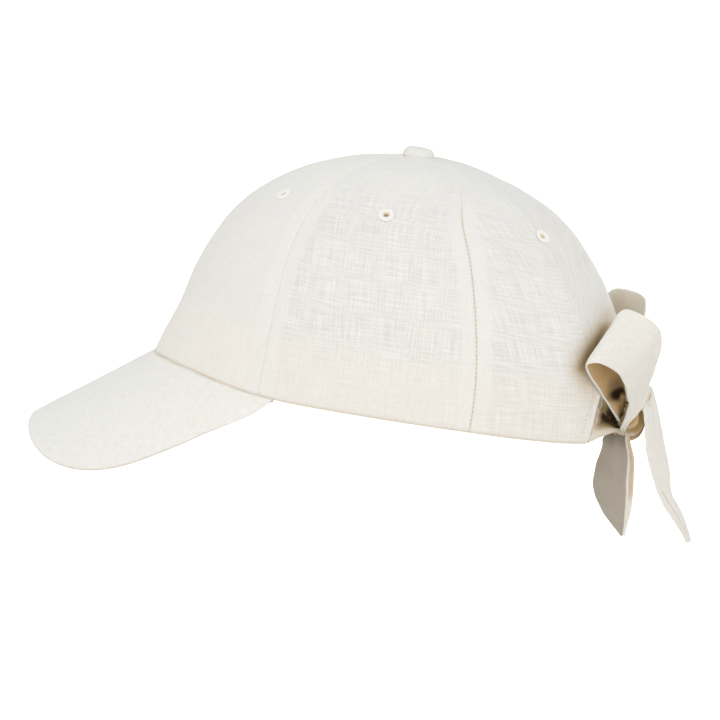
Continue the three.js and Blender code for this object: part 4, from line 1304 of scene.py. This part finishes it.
def paint_left_tie(share, across, from_edge):
    """In the loop's shade, painted across its upper half, from where it leaves the cap."""
    begun = smoothstep(share, -0.10, 0.20)
    shade = 0.9 * smoothstep(across, -0.75, 0.1) * begun
    return (0.12 + 0.85 * shade, 0.4), (0.985 * smoothstep(across, -0.55, 0.42) * begun, 0.3)


def paint_right_tie(share, across, from_edge):
    """Painted tan shade all along, and painted darker towards the knot."""
    return (0.9, 0.1), (0.35 + 0.62 * smoothstep(share, 0.0, 0.35), 0.0)


def make_knot():
    """A wrap of folds round the knot, with tan shade painted over it. Its weave runs round it from the side
    away from the head.
    """
    swing = np.linspace(0, 2 * math.pi, 120, endpoint=False)[None, :]
    share = np.linspace(-0.985, 0.985, 64)[:, None]
    tilt = math.pi / 2 * share
    wander = 0.16 * np.sin(swing + 0.7) + 0.05 * np.sin(2 * swing + 2.0)
    (number, height), (fine_number, fine_height) = KNOT["folds"], KNOT["fine_folds"]
    folds = np.cos(math.pi * number * (share + wander)) * np.cos(tilt) ** 0.5
    fine = np.cos(math.pi * fine_number * (share + 1.3 * wander)) * np.cos(tilt)
    fade = 0.9 + 0.25 * np.sin(swing + 2.2)
    radius = np.cos(tilt) ** 0.62 + (height * folds + fine_height * fine) * fade
    near_end = np.clip(np.sin(tilt), 0, 1) ** 2
    shift_y, shift_z = KNOT["near_end"]
    offsets = [
        np.sin(tilt) + 0 * swing,
        radius * np.cos(swing),
        radius * np.sin(swing),
    ]
    points = np.stack(offsets, axis=-1) * KNOT["half"] + KNOT["centre"]
    points = points + near_end[..., None] * np.array([0.0, shift_y, shift_z])
    # Painted tan shade, darker in the troughs of the folds and on the rear side; painted dark where it
    # faces down and where the near loop covers it
    rearward = 0.35 * smoothstep(np.cos(swing), 0.5, 0.9)
    shade = np.clip(0.64 - 0.30 * folds + rearward, 0, 0.97) + 0.15 * np.abs(share) ** 6
    place = KNOT["around"] * swing / (2 * math.pi)
    begin, end = KNOT_UNDER_LOOP
    under_loop = smoothstep(place, *begin) * (1 - smoothstep(place - 7.0 * near_end, *end))
    beneath = between(place, *KNOT_BENEATH)
    deep = 0.21 - 0.16 * folds + 0.10 * beneath + 0.88 * under_loop
    attributes = {"layers": 1.0, "shade": np.clip(shade, 0, 1), "deep": np.clip(deep, 0, 1)}
    piece = ring("knot_wrap", points, (KNOT["around"], KNOT["length"]), attributes, caps=True)
    finish_piece(piece, BOW_LINEN, "bow_linen", "bow_knot")


def tie_rows(side):
    """Sections of a tie, from its seat in the corner of the half-moon to the knot."""
    gap = 2 * math.degrees(SEAT_GAP / float(crown_radius(ARCH_CORNER_TURN, 0.0)))
    low_turn = ARCH_CORNER_TURN + gap
    high_turn = low_turn + TIE_ROOT["turn"]
    low = worn(crown_point(low_turn, rise_at(low_turn, 0.0), -PANEL_CLOTH / 2))
    high_rise = rise_at(high_turn, TIE_ROOT["height"] * ARCH_HEIGHT)
    high = worn(crown_point(high_turn, high_rise, -PANEL_CLOTH / 2))
    return [(row[0] * side, row[1], row[2], row[3] * side, row[4], row[5]) for row in [(*low, *high), *TIE]]


# Ribbons of the bow: piece, node, sections, seed, rows, gathers at its ends, cup and paint
RIBBONS = [
    ("loop_left_ribbon", "bow_loop_left", LEFT_LOOP, 11, 240, (0.7, 0.6), 0.0, paint_left_loop),
    ("loop_right_ribbon", "bow_loop_right", RIGHT_LOOP, 14, 240, (0.7, 0.6), 0.0, paint_right_loop),
    ("tie_left_ribbon", "tie_left", tie_rows(1), 17, 90, (0.3, 1.0), 0.0, paint_left_tie),
    ("tie_right_ribbon", "tie_right", tie_rows(-1), 17, 90, (0.3, 1.0), 0.0, paint_right_tie),
    ("tail_inner_ribbon", "bow_tail_inner", INNER_TAIL, 19, 150, (0.5, 0.0), 0.8, paint_inner_tail),
    ("tail_outer_ribbon", "bow_tail_outer", OUTER_TAIL, 23, 170, (0.7, 0.0), 0.8, paint_outer_tail),
]


def make_bow():
    make_knot()
    left, right, tie_left, tie_right, inner, outer = [ribbon(*row) for row in RIBBONS]


for side_name in SIDES:
    for panel_name in PANELS:
        make_panel(panel_name, side_name)
        make_eyelet(panel_name, side_name)
make_seams()
make_arch_stitches()
make_button()
make_sweatband()
make_seam_tapes()
make_visor()
make_bow()


# Floor and light

def add_floor():
    """A white floor, seen from above alone, that throws no light up at the cap."""
    mesh = bpy.data.meshes.new("floor")
    reach = ((-1, -1), (1, -1), (1, 1), (-1, 1))
    corners = [(x * FLOOR_SIZE, y * FLOOR_SIZE, FLOOR_HEIGHT) for x, y in reach]
    mesh.from_pydata(corners, [], [(0, 1, 2, 3)])
    floor = add_object("floor", mesh)
    tree = Tree("floor white")
    tree.set("Base Color", (0.86, 0.86, 0.86, 1))
    tree.set("Roughness", 0.9)
    tree.set("Emission Color", (1.0, 1.0, 1.0, 1))
    tree.set("Emission Strength", FLOOR_GLOW)
    clear = tree.nodes.new("ShaderNodeBsdfTransparent")
    pick = tree.nodes.new("ShaderNodeMixShader")
    facing = tree.nodes.new("ShaderNodeNewGeometry")
    tree.put(pick.inputs[0], facing.outputs["Backfacing"])
    tree.put(pick.inputs[1], tree.shader.outputs[0])
    tree.put(pick.inputs[2], clear.outputs[0])
    tree.put(tree.nodes["Material Output"].inputs["Surface"], pick.outputs[0])
    mesh.materials.append(tree.material)
    floor.visible_diffuse = False


def add_area(name, azimuth, elevation, distance, size, power, colour):
    data = bpy.data.lights.new(name, "AREA")
    data.shape = "SQUARE"
    data.size = size
    data.energy = power
    data.color = colour
    aim(add_object(name, data), math.radians(azimuth), math.radians(elevation), distance)


def add_light():
    world = bpy.data.worlds.new("studio")
    world.use_nodes = True
    nodes, links = world.node_tree.nodes, world.node_tree.links
    place = nodes.new("ShaderNodeTexCoord")
    split = nodes.new("ShaderNodeSeparateXYZ")
    ramp = nodes.new("ShaderNodeMapRange")
    ramp.inputs["From Min"].default_value = -0.25
    ramp.inputs["From Max"].default_value = 0.25
    blend = nodes.new("ShaderNodeMix")
    blend.data_type = "RGBA"
    blend.inputs[6].default_value = (*[c * GROUND for c in GROUND_COLOUR], 1)
    blend.inputs[7].default_value = (*[c * SKY for c in SKY_COLOUR], 1)
    links.new(place.outputs["Generated"], split.inputs[0])
    links.new(split.outputs[2], ramp.inputs["Value"])
    links.new(ramp.outputs[0], blend.inputs["Factor"])
    links.new(blend.outputs[2], nodes["Background"].inputs["Color"])
    nodes["Background"].inputs["Strength"].default_value = 1.0
    bpy.context.scene.world = world
    for row in LIGHTS:
        add_area(*row)
    settings = bpy.context.scene.view_settings
    settings.view_transform = "Standard"
    settings.look = "None"
    settings.exposure = 0.0
    settings.gamma = 1.0


add_floor()
add_light()
